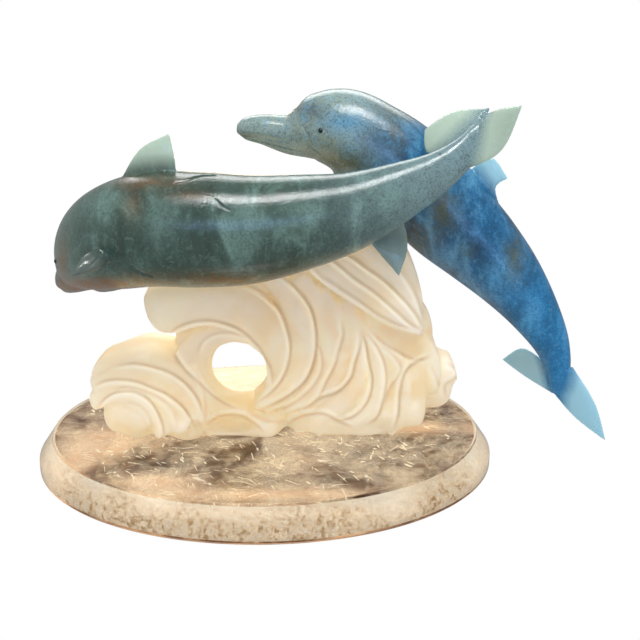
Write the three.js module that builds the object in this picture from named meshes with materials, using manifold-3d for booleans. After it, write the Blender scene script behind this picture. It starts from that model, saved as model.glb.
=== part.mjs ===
// Two carved dolphins leaping over a curling wave of frosted rock crystal, on an oval base of clear crystal.
// Millimetres, +Z up, the origin at the middle of the base's underside, seen from -Y.
import * as THREE from "three";
import { mergeVertices } from "three/addons/utils/BufferGeometryUtils.js";
import Module from "manifold-3d";

const wasm = await Module();
wasm.setup();

// Driving dimensions.
const BASE_LENGTH = 239;
const BASE_WIDTH = 203;
const BASE_HEIGHT = 17.5;
const BEVEL_WIDTH = 7.5;
const BEVEL_HEIGHT = 11;
const BASE_EDGE_BREAK = 1.2;
const WAVE_LENGTH = 193;
const WAVE_WIDTH = 78;
const WAVE_HEIGHT = 106;
const BARREL_WIDTH = 31;
const ARCH_WIDTH = 25;
const ARCH_HEIGHT = 8.5;
const ARCH_DEPTH = 18;
const FRONT_LENGTH = 290;
const BACK_LENGTH = 250;
const EYE_DIAMETER = 2.8;
const EYE_STAND = 0.7;
const SEAT_GAP = 0.3;

// Fineness of the facets.
const BASE_SIDES = 48;
const FOLD_SIDES = 8;
const FOLD_RINGS = 7;
const SCROLL_RINGS = 12;
const BARREL_SIDES = 20;
const ARCH_SIDES = 12;
const ARCH_RINGS = 6;
const TRUNK_SIDES = 16;
const TRUNK_RINGS = 20;
const JAW_SIDES = 10;
const JAW_RINGS = 8;
const BROW_RINGS = 4;
const FIN_SIDES = 8;
const FIN_RINGS = 7;
const EYE_SIDES = 8;
const EYE_RINGS = 4;

const CRYSTAL = new THREE.MeshStandardMaterial({
  color: "#d9c9ac", roughness: 0.08, metalness: 0, transparent: true, opacity: 0.55,
});
const FROSTED = new THREE.MeshStandardMaterial({ color: "#efe5d0", roughness: 0.55, metalness: 0 });
const GREEN_STONE = new THREE.MeshStandardMaterial({ color: "#5f7d74", roughness: 0.2, metalness: 0 });
const BLUE_STONE = new THREE.MeshStandardMaterial({ color: "#3a729c", roughness: 0.2, metalness: 0 });
const EYE_STONE = new THREE.MeshStandardMaterial({ color: "#14181c", roughness: 0.1, metalness: 0 });

const vector = (x, y, z) => new THREE.Vector3(x, y, z);

// Vertices of a geometry that are closer than this are one.
const MERGE_DISTANCE = 1e-4;

// A manifold solid of a closed geometry, turned right side out.
function solid(geometry) {
  geometry.deleteAttribute("normal");
  geometry.deleteAttribute("uv");
  const merged = mergeVertices(geometry, MERGE_DISTANCE);
  const points = merged.attributes.position.array;
  const faces = Uint32Array.from(merged.index.array);
  if (volume(points, faces) < 0) {
    for (let i = 0; i < faces.length; i += 3) {
      [faces[i], faces[i + 1]] = [faces[i + 1], faces[i]];
    }
  }
  return new wasm.Manifold(new wasm.Mesh({ numProp: 3, vertProperties: points, triVerts: faces }));
}

// Six times the signed volume that the faces enclose.
function volume(points, faces) {
  let sum = 0;
  const corner = (i) => vector(points[3 * i], points[3 * i + 1], points[3 * i + 2]);
  for (let i = 0; i < faces.length; i += 3) {
    sum += corner(faces[i]).dot(corner(faces[i + 1]).cross(corner(faces[i + 2])));
  }
  return sum;
}

// A closed skin: a sphere's grid of vertices, each row laid where place(row, angle) says.
// The first and the last row are the two poles, so place gives one point there whatever the angle.
function skin(sides, rings, place) {
  const geometry = new THREE.SphereGeometry(1, sides, rings);
  const position = geometry.attributes.position;
  for (let i = 0; i < position.count; i += 1) {
    const row = Math.floor(i / (sides + 1));
    const turn = (i % (sides + 1)) % sides;
    const point = place(row, (turn / sides) * 2 * Math.PI);
    position.setXYZ(i, point.x, point.y, point.z);
  }
  return solid(geometry);
}

const union = (solids) => solids.reduce((sum, next) => sum.add(next));

// A smooth reading of a table of rows [share, value, value, ...] at a share of the way along.
function readTable(rows, share) {
  let i = 0;
  while (i < rows.length - 2 && share > rows[i + 1][0]) {
    i += 1;
  }
  const [low, high] = [rows[i], rows[i + 1]];
  const [before, after] = [rows[Math.max(i - 1, 0)], rows[Math.min(i + 2, rows.length - 1)]];
  const span = high[0] - low[0];
  const u = Math.min(Math.max((share - low[0]) / span, 0), 1);
  return low.slice(1).map((value, k) => {
    const start = (span * (high[k + 1] - before[k + 1])) / (high[0] - before[0]);
    const end = (span * (after[k + 1] - value)) / (after[0] - low[0]);
    return (
      (2 * u ** 3 - 3 * u ** 2 + 1) * value + (u ** 3 - 2 * u ** 2 + u) * start
      + (3 * u ** 2 - 2 * u ** 3) * high[k + 1] + (u ** 3 - u ** 2) * end
    );
  });
}

// The oval base: a foot with a broken edge, an upright side, a broad bevel and a flat top.
function makeBase() {
  const side = BASE_HEIGHT - BEVEL_HEIGHT;
  const rings = [
    [BASE_EDGE_BREAK, 0],
    [0, BASE_EDGE_BREAK],
    [0, side],
    [BEVEL_WIDTH, BASE_HEIGHT],
  ];
  return skin(BASE_SIDES, rings.length + 1, (row, angle) => {
    if (row === 0 || row > rings.length) {
      return vector(0, 0, row === 0 ? 0 : BASE_HEIGHT);
    }
    const [inset, height] = rings[row - 1];
    return vector(
      (BASE_LENGTH / 2 - inset) * Math.cos(angle),
      (BASE_WIDTH / 2 - inset) * Math.sin(angle),
      height,
    );
  });
}

// How round a fold's ridge is: the depth of its rounding as a share of its half thickness.
const RIDGE_ROUNDNESS = 0.8;

// How deep the folds reach at the foot, against their stated half, and how much less at the crest.
const FOOT_SPREAD = 1.1;
const CREST_TAPER = 0.24;

// The wave stands on the base, a little right of its middle and behind it, in shares of the base.
const WAVE_RIGHT = 0.015;
const WAVE_BEHIND = 0.054;
const WAVE_SHIFT_X = WAVE_RIGHT * BASE_LENGTH;
const WAVE_SHIFT_Y = WAVE_BEHIND * BASE_WIDTH;
const WAVE_FOOT = BASE_HEIGHT + SEAT_GAP;

// A place on the wave: shares of its length, width and height from the middle of its foot.
function onWave(x, y, z) {
  return vector(WAVE_SHIFT_X + x * WAVE_LENGTH, WAVE_SHIFT_Y + y * WAVE_WIDTH, WAVE_FOOT + z * WAVE_HEIGHT);
}

// The wave's folds. Each path runs along the fold's middle line, seen from the front, with rows of
// [place along the length, height, half thickness]. depth is where its middle lies front to back,
// and half how far it reaches each way.
const FOLDS = {
  coreLeft: {
    path: [[-0.151, 0.405, 0.117], [-0.083, 0.405, 0.143], [-0.024, 0.394, 0.125]],
    depth: 0.038, half: 0.346,
  },
  coreRight: {
    path: [[0.079, 0.438, 0.156], [0.199, 0.453, 0.177], [0.287, 0.438, 0.156]], depth: 0.026, half: 0.372,
  },
  coreLow: {
    path: [[0.051, 0.176, 0.073], [0.186, 0.192, 0.089], [0.309, 0.176, 0.083]], depth: 0.013, half: 0.346,
  },
  coreCrest: {
    path: [[0.199, 0.801, 0.078], [0.279, 0.781, 0.094], [0.342, 0.69, 0.057]], depth: 0.09, half: 0.282,
  },
  saddle: {
    path: [[-0.05, 0.77, 0.055], [0.08, 0.86, 0.06], [0.2, 0.9, 0.06]], depth: 0, half: 0.3,
  },
  foot: {
    path: [[-0.4, 0.061, 0.036], [-0.086, 0.05, 0.042], [0.159, 0.05, 0.042], [0.39, 0.1, 0.036]],
    depth: -0.02, half: 0.33,
  },
  apron: {
    path: [[0.034, 0.03, 0.008], [0.127, 0.03, 0.024], [0.22, 0.02, 0.02], [0.302, 0.01, 0.008]],
    depth: -0.2, half: 0.17,
  },
  scroll: {
    path: [
      [-0.271, 0.633, 0.07], [-0.168, 0.668, 0.063], [-0.072, 0.638, 0.063], [-0.005, 0.523, 0.06],
      [0.028, 0.381, 0.049], [0.012, 0.237, 0.031], [-0.035, 0.164, 0.013],
    ],
    depth: -0.064, half: 0.359, rings: SCROLL_RINGS,
  },
  funnel: {
    path: [
      [-0.172, 0.147, 0.023], [-0.213, 0.263, 0.034], [-0.213, 0.403, 0.039], [-0.15, 0.495, 0.029],
      [-0.067, 0.5, 0.021],
    ],
    depth: -0.026, half: 0.333,
  },
  lip: {
    path: [[-0.21, 0.335, 0.023], [-0.159, 0.179, 0.023], [-0.068, 0.116, 0.018]],
    depth: -0.09, half: 0.295,
  },
  curl: {
    path: [[-0.422, 0.251, 0.07], [-0.349, 0.282, 0.081], [-0.27, 0.251, 0.083], [-0.213, 0.152, 0.065]],
    depth: -0.077, half: 0.333,
  },
  curlOuter: {
    path: [
      [-0.411, 0.342, 0.021], [-0.333, 0.373, 0.031], [-0.262, 0.322, 0.039], [-0.211, 0.218, 0.034],
      [-0.181, 0.103, 0.023],
    ],
    depth: -0.09, half: 0.333, lean: -0.3,
  },
  curlMiddle: {
    path: [
      [-0.458, 0.275, 0.026], [-0.398, 0.306, 0.031], [-0.33, 0.28, 0.031], [-0.268, 0.198, 0.031],
      [-0.233, 0.083, 0.029],
    ],
    depth: -0.128, half: 0.333, lean: -0.3,
  },
  curlInner: {
    path: [
      [-0.463, 0.202, 0.021], [-0.414, 0.243, 0.023], [-0.356, 0.228, 0.026], [-0.31, 0.15, 0.026],
      [-0.283, 0.051, 0.023],
    ],
    depth: -0.179, half: 0.308, lean: -0.3,
  },
  curlBall: {
    path: [[-0.399, 0.132, 0.052], [-0.347, 0.101, 0.052]], depth: -0.244, half: 0.256,
  },
  arc1: {
    path: [
      [-0.003, 0.814, 0.031], [0.053, 0.666, 0.034], [0.082, 0.5, 0.036], [0.073, 0.347, 0.031],
      [0.041, 0.227, 0.023], [-0.014, 0.138, 0.01],
    ],
    depth: -0.038, half: 0.346, lean: 0.35,
  },
  arc2: {
    path: [
      [0.075, 0.781, 0.029], [0.127, 0.647, 0.031], [0.143, 0.495, 0.031], [0.129, 0.342, 0.026],
      [0.089, 0.211, 0.021], [0.032, 0.122, 0.01],
    ],
    depth: -0.019, half: 0.346, lean: 0.35,
  },
  arc3: {
    path: [
      [0.137, 0.71, 0.023], [0.169, 0.57, 0.029], [0.178, 0.417, 0.029], [0.154, 0.262, 0.026],
      [0.086, 0.125, 0.013],
    ],
    depth: -0.013, half: 0.346, lean: 0.35,
  },
  leaf1: {
    path: [
      [0.198, 0.66, 0.021], [0.223, 0.494, 0.029], [0.221, 0.324, 0.036], [0.194, 0.183, 0.031],
      [0.132, 0.088, 0.016],
    ],
    depth: -0.013, half: 0.346, lean: 0.35,
  },
  leaf2: {
    path: [[0.249, 0.546, 0.016], [0.282, 0.367, 0.026], [0.278, 0.185, 0.029], [0.219, 0.058, 0.018]],
    depth: -0.019, half: 0.346, lean: 0.35,
  },
  leaf3: {
    path: [[0.297, 0.468, 0.018], [0.342, 0.313, 0.029], [0.341, 0.13, 0.031], [0.313, 0.028, 0.026]],
    depth: -0.019, half: 0.333, lean: 0.35,
  },
  crestLeaf: {
    path: [
      [0.111, 0.915, 0.036], [0.2, 0.851, 0.063], [0.29, 0.738, 0.057], [0.365, 0.598, 0.026],
      [0.401, 0.512, 0.008],
    ],
    depth: -0.013, half: 0.333,
  },
  crest1: {
    path: [[0.094, 0.905, 0.023], [0.184, 0.774, 0.026], [0.302, 0.631, 0.021], [0.392, 0.536, 0.007]],
    depth: -0.103, half: 0.321, lean: -0.35,
  },
  crest2: {
    path: [[0.16, 0.939, 0.029], [0.241, 0.808, 0.029], [0.331, 0.67, 0.021], [0.396, 0.54, 0.008]],
    depth: -0.077, half: 0.321, lean: -0.35,
  },
  crest3: {
    path: [[0.236, 0.954, 0.031], [0.309, 0.842, 0.031], [0.363, 0.704, 0.021], [0.399, 0.549, 0.008]],
    depth: -0.051, half: 0.321, lean: -0.35,
  },
  crestRim: {
    path: [[0.31, 0.945, 0.026], [0.354, 0.817, 0.026], [0.382, 0.668, 0.023], [0.4, 0.531, 0.008]],
    depth: 0.013, half: 0.295,
  },
  roll1: {
    path: [[0.361, 0.501, 0.023], [0.402, 0.424, 0.034], [0.426, 0.32, 0.034], [0.419, 0.214, 0.034]],
    depth: 0.038, half: 0.308,
  },
  roll2: {
    path: [[0.306, 0.509, 0.031], [0.353, 0.406, 0.044], [0.376, 0.261, 0.047], [0.378, 0.118, 0.044]],
    depth: 0.013, half: 0.321,
  },
  ball: {
    path: [[0.441, 0.203, 0.068], [0.437, 0.144, 0.065]], depth: 0.141, half: 0.256,
  },
  ballBump: {
    path: [[0.477, 0.256, 0.031], [0.486, 0.213, 0.029]], depth: 0.09, half: 0.179,
  },
};

// One fold: a slab along its path with rounded ends and a rounded ridge front and back. lean brings the
// fold's outer side forwards and sets its inner side back, so that folds overlap like shingles.
function makeFold({ path, depth, half, lean = 0, rings = FOLD_RINGS }) {
  const line = new THREE.CatmullRomCurve3(path.map(([x, z]) => onWave(x, depth, z)));
  const girth = path.map(([, , r], i) => [i / (path.length - 1), r]);
  const length = line.getLength();
  const [head, tail] = [girth[0][1], girth[girth.length - 1][1]].map((r) => (r * WAVE_LENGTH) / length);
  return skin(FOLD_SIDES, rings, (row, angle) => {
    const share = (1 - Math.cos((row / rings) * Math.PI)) / 2;
    const run = share * (1 + head + tail) - head;
    const t = Math.min(Math.max(run, 0), 1);
    const past = run < 0 ? -run / head : (run - t) / tail;
    const round = Math.sqrt(Math.max(1 - past ** 2, 0));
    const along = line.getTangent(t);
    const across = vector(0, 1, 0).cross(along).normalize();
    const radius = readTable(girth, t)[0] * WAVE_LENGTH;
    const height = (line.getPoint(t).z - WAVE_FOOT) / WAVE_HEIGHT;
    const reach = half * WAVE_WIDTH * (FOOT_SPREAD - CREST_TAPER * height);
    const ridge = Math.min(RIDGE_ROUNDNESS * radius, reach);
    const [wide, deep] = [Math.cos(angle), Math.abs(Math.sin(angle)) < 1e-6 ? 0 : Math.sin(angle)];
    const out = deep * ridge + Math.sign(deep) * (reach - ridge) + lean * wide * radius;
    return line.getPoint(t)
      .addScaledVector(along, (run - t) * length)
      .addScaledVector(across, wide * radius * round)
      .addScaledVector(vector(0, 1, 0), out * round);
  });
}

// The open barrel of the wave: a tunnel that drops and widens towards the back.
// Rows of [place front to back, place along the length, height, radius as a share of the barrel's width].
const BARREL = [
  [-0.7, -0.088, 0.35, 0.52],
  [-0.37, -0.088, 0.34, 0.5],
  [-0.05, -0.088, 0.29, 0.49],
  [0.38, -0.088, 0.165, 0.66],
  [0.8, -0.088, 0.08, 0.75],
];

function makeBarrel() {
  const rings = BARREL.length;
  return skin(BARREL_SIDES, rings + 1, (row, angle) => {
    const [y, x, z, r] = BARREL[Math.min(Math.max(row - 1, 0), rings - 1)];
    const radius = row === 0 || row > rings ? 0 : r * BARREL_WIDTH;
    return onWave(x, y, z).add(vector(Math.cos(angle) * radius, 0, Math.sin(angle) * radius));
  });
}

// The shallow arch under the front of the barrel, as an egg-shaped hollow.
const ARCH_PLACE = [-0.111, -0.37, 0.052];

function makeArch() {
  const arch = new THREE.SphereGeometry(1, ARCH_SIDES, ARCH_RINGS);
  arch.scale(ARCH_WIDTH / 2, ARCH_DEPTH / 2, ARCH_HEIGHT / 2);
  const middle = onWave(...ARCH_PLACE);
  arch.translate(middle.x, middle.y, middle.z);
  return solid(arch);
}

// Everything under the wave's flat foot.
function makeGround() {
  const corner = onWave(0, 0, 0);
  const slab = new THREE.BoxGeometry(2 * WAVE_LENGTH, 3 * WAVE_WIDTH, WAVE_HEIGHT);
  slab.translate(corner.x, corner.y, corner.z - WAVE_HEIGHT / 2);
  return solid(slab);
}

// A dolphin's body, in shares of its length: rows of
// [share from the tip of the beak, height over the spine, depth under it, half width].
const TRUNK = [
  [0.085, 0.012, 0.012, 0.014],
  [0.105, 0.034, 0.03, 0.034],
  [0.13, 0.047, 0.042, 0.046],
  [0.165, 0.072, 0.056, 0.058],
  [0.22, 0.087, 0.076, 0.073],
  [0.3, 0.094, 0.094, 0.086],
  [0.4, 0.098, 0.1, 0.092],
  [0.5, 0.095, 0.098, 0.088],
  [0.6, 0.086, 0.086, 0.077],
  [0.7, 0.071, 0.07, 0.06],
  [0.8, 0.053, 0.051, 0.041],
  [0.9, 0.034, 0.033, 0.025],
  [0.97, 0.022, 0.021, 0.015],
  [1, 0.01, 0.01, 0.008],
];
const UPPER_JAW = [
  [0, 0.012, 0.006, 0.012],
  [0.015, 0.024, 0.012, 0.022],
  [0.05, 0.031, 0.018, 0.03],
  [0.1, 0.035, 0.026, 0.034],
  [0.16, 0.04, 0.03, 0.038],
];
const LOWER_JAW = [
  [0.006, -0.004, 0.01, 0.01],
  [0.02, -0.006, 0.02, 0.018],
  [0.06, -0.01, 0.03, 0.024],
  [0.11, -0.01, 0.042, 0.03],
  [0.16, -0.01, 0.056, 0.034],
];
const BROW_FOLD = [
  [0.112, 0.02, 0.02, 0.02],
  [0.122, 0.044, 0.034, 0.042],
  [0.134, 0.046, 0.036, 0.044],
  [0.146, 0.02, 0.02, 0.02],
];

// The two poses, in shares of the dolphin's length from its seat on the wave's crest.
// spine runs from the tip of the beak to the notch of the tail, and backs says which way its back faces
// there, evenly spread. eyes is how far along it the eyes sit. A fin is
// [front of its root, front edge, tip, rear edge, rear of its root].
const FRONT_POSE = {
  girth: 0.97,
  eyes: 0.172,
  spine: [
    [-0.453, 0.234, -0.103], [-0.417, 0.162, -0.061], [-0.368, 0.09, -0.008], [-0.309, 0.031, 0.036],
    [-0.249, 0, 0.056], [-0.164, -0.014, 0.059], [-0.082, -0.014, 0.059], [0.001, -0.01, 0.069],
    [0.083, 0, 0.085], [0.166, 0.014, 0.116], [0.233, 0.031, 0.148], [0.28, 0.045, 0.185],
    [0.307, 0.055, 0.226],
  ],
  backs: [[-0.3, 0.3, 1], [-0.2, 0.2, 1], [0, 0, 1], [0, 0, 1], [-0.2, 0, 1], [-0.6, -0.4, 0.6]],
  fins: {
    dorsal: [[-0.302, 0.014, 0.129], [-0.26, 0.003, 0.189], [-0.211, 0, 0.215], [-0.203, -0.007, 0.177],
      [-0.199, -0.007, 0.13]],
    leftFlipper: [[-0.321, -0.014, 0.034], [-0.345, -0.09, 0.03], [-0.361, -0.117, 0.003],
      [-0.319, -0.09, 0.011], [-0.305, -0.014, 0.024]],
    rightFlipper: [[-0.388, 0.076, -0.04], [-0.377, 0.145, -0.09], [-0.337, 0.207, -0.102],
      [-0.343, 0.145, -0.07], [-0.346, 0.076, -0.033]],
    leftFluke: [[0.264, 0.038, 0.144], [0.324, -0.007, 0.184], [0.351, -0.041, 0.264], [0.327, 0.014, 0.253],
      [0.312, 0.062, 0.239]],
    rightFluke: [[0.251, 0.048, 0.167], [0.214, 0.079, 0.173], [0.212, 0.107, 0.207], [0.256, 0.083, 0.24],
      [0.317, 0.062, 0.249]],
  },
};
const BACK_POSE = {
  girth: 1.06,
  eyes: 0.187,
  spine: [
    [-0.333, 0.064, 0.222], [-0.279, 0.06, 0.223], [-0.219, 0.056, 0.217], [-0.159, 0.052, 0.222],
    [-0.101, 0.048, 0.216], [-0.044, 0.044, 0.185], [0.01, 0.04, 0.149], [0.071, 0.028, 0.095],
    [0.127, 0.012, 0.039], [0.188, -0.012, -0.017], [0.244, -0.04, -0.074], [0.296, -0.068, -0.141],
    [0.336, -0.092, -0.209], [0.354, -0.096, -0.271], [0.355, -0.084, -0.321],
  ],
  backs: [[0, 0, 1], [0.1, 0, 1], [0.6, 0, 0.8], [0.8, 0.1, 0.6], [0.9, 0.2, 0.4], [0.74, 0.5, 0.46]],
  fins: {
    dorsal: [[0.14, 0.024, 0.121], [0.205, 0.016, 0.172], [0.244, 0.008, 0.128], [0.219, 0.008, 0.109],
      [0.229, 0.004, 0.065]],
    leftFlipper: [[-0.096, -0.04, 0.09], [-0.064, -0.176, 0.041], [0.001, -0.208, -0.032],
      [0.019, -0.184, 0.025], [-0.001, -0.048, 0.104]],
    rightFlipper: [[-0.084, 0.088, 0.088], [-0.041, 0.144, -0.002], [0.022, 0.176, -0.087],
      [0.027, 0.144, 0.005], [0, 0.096, 0.096]],
    leftFluke: [[0.379, -0.112, -0.252], [0.432, -0.12, -0.335], [0.463, -0.116, -0.424],
      [0.395, -0.096, -0.374], [0.349, -0.076, -0.324]],
    rightFluke: [[0.326, -0.088, -0.251], [0.288, -0.024, -0.241], [0.254, 0.032, -0.286],
      [0.298, -0.016, -0.309], [0.354, -0.072, -0.33]],
  },
};

// A fin's half thickness at its root, and the power by which it thins towards its tip.
const FIN_TAPER = 0.5;
const FIN_HALF_THICKNESS = {
  dorsal: 0.009, leftFlipper: 0.011, rightFlipper: 0.011, leftFluke: 0.01, rightFluke: 0.01,
};

// How far round the body the eyes sit, from its side towards its back.
const EYE_RISE = 0.1;

// One dolphin: its pose turned into millimetres round its seat.
class Dolphin {
  constructor(pose, length, seat) {
    this.pose = pose;
    this.length = length;
    this.place = ([x, y, z]) => vector(x, y, z).multiplyScalar(length).add(seat);
    this.spine = new THREE.CatmullRomCurve3(pose.spine.map(this.place));
    this.backs = pose.backs.map((back, i) => [i / (pose.backs.length - 1), ...back]);
  }

  // The spine's point at a share of its length, with its back, its left side and its way to the tail.
  frame(share) {
    const along = this.spine.getTangentAt(share);
    const back = vector(...readTable(this.backs, share));
    back.addScaledVector(along, -back.dot(along)).normalize();
    return { point: this.spine.getPointAt(share), back, left: along.clone().cross(back), along };
  }

  // A point on a body section: angle 0 is the left side, a quarter turn the back.
  onSection([up, down, half], share, angle, swell) {
    const { point, back, left } = this.frame(share);
    const size = this.pose.girth * this.length;
    const middle = Math.min(up, 0);
    const tall = Math.sin(angle) >= 0 ? up - middle : down + middle;
    return point
      .addScaledVector(back, middle * size + Math.sin(angle) * (tall * size + swell))
      .addScaledVector(left, Math.cos(angle) * (half * size + swell));
  }

  // A part of the body that follows the spine, from a table of sections.
  loft(table, sides, rings, swell) {
    const [first, last] = [table[0][0], table[table.length - 1][0]];
    return skin(sides, rings, (row, angle) => {
      const share = first + ((last - first) * (1 - Math.cos((row / rings) * Math.PI))) / 2;
      if (row === 0 || row === rings) {
        return this.frame(row === 0 ? first : last).point;
      }
      return this.onSection(readTable(table, share), share, angle, swell);
    });
  }

  // A fin: a lens-shaped blade between its front and its rear edge, closing at the tip.
  fin(corners, halfThickness, swell) {
    const [root, front, tip, rear, heel] = corners.map(this.place);
    const lead = new THREE.CatmullRomCurve3([root, front, tip]);
    const trail = new THREE.CatmullRomCurve3([heel, rear, tip]);
    return skin(FIN_SIDES, FIN_RINGS, (row, angle) => {
      const share = Math.min(Math.max((row - 1) / (FIN_RINGS - 1), 0), 1);
      const [ahead, behind] = [lead.getPoint(share), trail.getPoint(share)];
      const middle = ahead.clone().add(behind).multiplyScalar(0.5);
      if (row === 0 || row === FIN_RINGS) {
        return middle;
      }
      const chord = ahead.clone().sub(behind).multiplyScalar(0.5);
      const out = lead.getTangent(share).add(trail.getTangent(share));
      const thick = chord.clone().cross(out).normalize();
      const half = halfThickness * this.length * (1 - share) ** FIN_TAPER + swell;
      return middle
        .addScaledVector(chord, Math.cos(angle) * (1 + swell / Math.max(chord.length(), 1)))
        .addScaledVector(thick, Math.sin(angle) * half);
    });
  }

  // The whole animal, or with a swell the room that it needs in what it rests on.
  body(swell = 0) {
    return union([
      this.loft(TRUNK, TRUNK_SIDES, TRUNK_RINGS, swell),
      this.loft(UPPER_JAW, JAW_SIDES, JAW_RINGS, swell),
      this.loft(LOWER_JAW, JAW_SIDES, JAW_RINGS, swell),
      this.loft(BROW_FOLD, JAW_SIDES, BROW_RINGS, swell),
      ...Object.entries(this.pose.fins).map(([name, corners]) => (
        this.fin(corners, FIN_HALF_THICKNESS[name], swell)
      )),
    ]);
  }

  // The middle of an eye: sunk under the skin so that the eye stands out by EYE_STAND.
  eyeCentre(side) {
    const angle = side > 0 ? EYE_RISE : Math.PI - EYE_RISE;
    const section = readTable(TRUNK, this.pose.eyes);
    return this.onSection(section, this.pose.eyes, angle, EYE_STAND - EYE_DIAMETER / 2);
  }
}

function makeBall(centre, radius) {
  const ball = new THREE.SphereGeometry(radius, EYE_SIDES, EYE_RINGS);
  ball.translate(centre.x, centre.y, centre.z);
  return solid(ball);
}

function toMesh(name, body, material) {
  const { vertProperties, triVerts } = body.getMesh();
  const geometry = new THREE.BufferGeometry();
  geometry.setAttribute("position", new THREE.BufferAttribute(vertProperties, 3));
  geometry.setIndex(new THREE.BufferAttribute(triVerts, 1));
  const mesh = new THREE.Mesh(geometry, material);
  mesh.name = name;
  return mesh;
}

// The dolphins' seats on the wave's crest, which all places in their poses are measured from.
const FRONT_SEAT = onWave(0.082, -0.474, 0.898);
const BACK_SEAT = onWave(0.333, 0.244, 0.892);
const FRONT = new Dolphin(FRONT_POSE, FRONT_LENGTH, FRONT_SEAT);
const BACK = new Dolphin(BACK_POSE, BACK_LENGTH, BACK_SEAT);
const DOLPHINS = [
  { name: "front_dolphin", figure: FRONT, stone: GREEN_STONE },
  { name: "back_dolphin", figure: BACK, stone: BLUE_STONE },
];

const hollows = union([makeBarrel(), makeArch(), makeGround()]);
const wave = DOLPHINS.reduce(
  (sum, { figure }) => sum.subtract(figure.body(SEAT_GAP)),
  union(Object.values(FOLDS).map(makeFold)).subtract(hollows),
);

const sculpture = new THREE.Group();
sculpture.add(toMesh("base", makeBase(), CRYSTAL));
sculpture.add(toMesh("wave", wave, FROSTED));
for (const { name, figure, stone } of DOLPHINS) {
  const eyes = [["left_eye", 1], ["right_eye", -1]];
  const sockets = eyes.map(([, side]) => makeBall(figure.eyeCentre(side), EYE_DIAMETER / 2 + SEAT_GAP));
  const body = sockets.reduce((sum, socket) => sum.subtract(socket), figure.body());
  sculpture.add(toMesh(name, body, stone));
  for (const [eye, side] of eyes) {
    sculpture.add(toMesh(`${name}_${eye}`, makeBall(figure.eyeCentre(side), EYE_DIAMETER / 2), EYE_STONE));
  }
}

export default sculpture;
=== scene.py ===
"""A carved gemstone group: two dolphins leaping over a frosted crystal wave on an oval crystal base.

Metres, +Z up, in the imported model's own frame. The photograph looks along +Y and a little down.
"""

import logging
import math
from dataclasses import dataclass, field
from enum import Enum
from functools import lru_cache
from typing import Callable, Sequence

import bmesh
import bpy
import numpy as np
from mathutils import Euler, Matrix, Vector


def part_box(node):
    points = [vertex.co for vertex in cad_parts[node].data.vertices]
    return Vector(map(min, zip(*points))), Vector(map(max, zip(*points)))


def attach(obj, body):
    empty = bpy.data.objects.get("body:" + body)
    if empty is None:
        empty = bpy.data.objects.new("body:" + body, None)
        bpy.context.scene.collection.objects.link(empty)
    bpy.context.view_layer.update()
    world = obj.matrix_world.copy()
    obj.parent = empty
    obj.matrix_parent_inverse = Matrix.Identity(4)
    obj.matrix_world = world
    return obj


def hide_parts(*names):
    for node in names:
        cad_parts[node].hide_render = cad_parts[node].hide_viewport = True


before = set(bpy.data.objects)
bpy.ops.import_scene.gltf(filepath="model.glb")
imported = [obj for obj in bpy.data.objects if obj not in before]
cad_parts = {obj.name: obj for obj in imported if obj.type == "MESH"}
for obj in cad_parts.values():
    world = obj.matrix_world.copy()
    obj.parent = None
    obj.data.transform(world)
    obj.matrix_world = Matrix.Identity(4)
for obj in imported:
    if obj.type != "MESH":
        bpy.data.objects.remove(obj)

LOG = logging.getLogger("dolphin_group")
MM = 0.001
BODY = "root"


class Side(Enum):
    """The two sides of an animal, as the sign of its left-pointing axis."""

    LEFT = 1
    RIGHT = -1


def linear(code: str) -> tuple[float, float, float, float]:
    """Turns an sRGB hex colour to linear light.

    Args:
        code: the colour as #rrggbb.

    Returns:
        Red, green, blue and a full alpha.
    """
    parts = [int(code[i:i + 2], 16) / 255 for i in (1, 3, 5)]
    light = [c / 12.92 if c <= 0.04045 else ((c + 0.055) / 1.055) ** 2.4 for c in parts]
    return (*light, 1.0)


def add_node(tree: bpy.types.NodeTree, kind: str, inputs: dict | None = None, **settings) -> bpy.types.Node:
    """Adds one node with its settings and links.

    Args:
        tree: the node tree.
        kind: the node's type without its ShaderNode prefix.
        inputs: values or output sockets by input name or index.
        settings: properties of the node itself.

    Returns:
        The new node.
    """
    made = tree.nodes.new("ShaderNode" + kind)
    for key, value in settings.items():
        setattr(made, key, value)
    for key, value in (inputs or {}).items():
        socket = made.inputs[key]
        if isinstance(value, bpy.types.NodeSocket):
            tree.links.new(value, socket)
        else:
            socket.default_value = value
    return made


def add_ramp(tree: bpy.types.NodeTree, factor: bpy.types.NodeSocket, stops: Sequence[tuple]) -> bpy.types.NodeSocket:
    """Adds a colour ramp.

    Args:
        tree: the node tree.
        factor: what the ramp reads.
        stops: pairs of place and linear colour, or place and grey value.

    Returns:
        The ramp's colour socket.
    """
    ramp = add_node(tree, "ValToRGB", {"Fac": factor})
    elements = ramp.color_ramp.elements
    while len(elements) < len(stops):
        elements.new(0.5)
    for element, (place, value) in zip(elements, stops):
        element.position = place
        element.color = value if isinstance(value, tuple) else (value, value, value, 1.0)
    return ramp.outputs["Color"]


def mix(tree: bpy.types.NodeTree, factor, low, high, blend: str = "MIX") -> bpy.types.NodeSocket:
    """Mixes two colours by a factor and returns the colour socket."""
    made = add_node(tree, "Mix", data_type="RGBA", blend_type=blend)
    for index, value in ((0, factor), (6, low), (7, high)):
        if isinstance(value, bpy.types.NodeSocket):
            tree.links.new(value, made.inputs[index])
        else:
            made.inputs[index].default_value = value
    return made.outputs[2]


def painted(tree: bpy.types.NodeTree, name: str) -> bpy.types.NodeSocket:
    """Reads a number painted on the piece."""
    return add_node(tree, "Attribute", attribute_name=name).outputs["Fac"]


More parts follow.
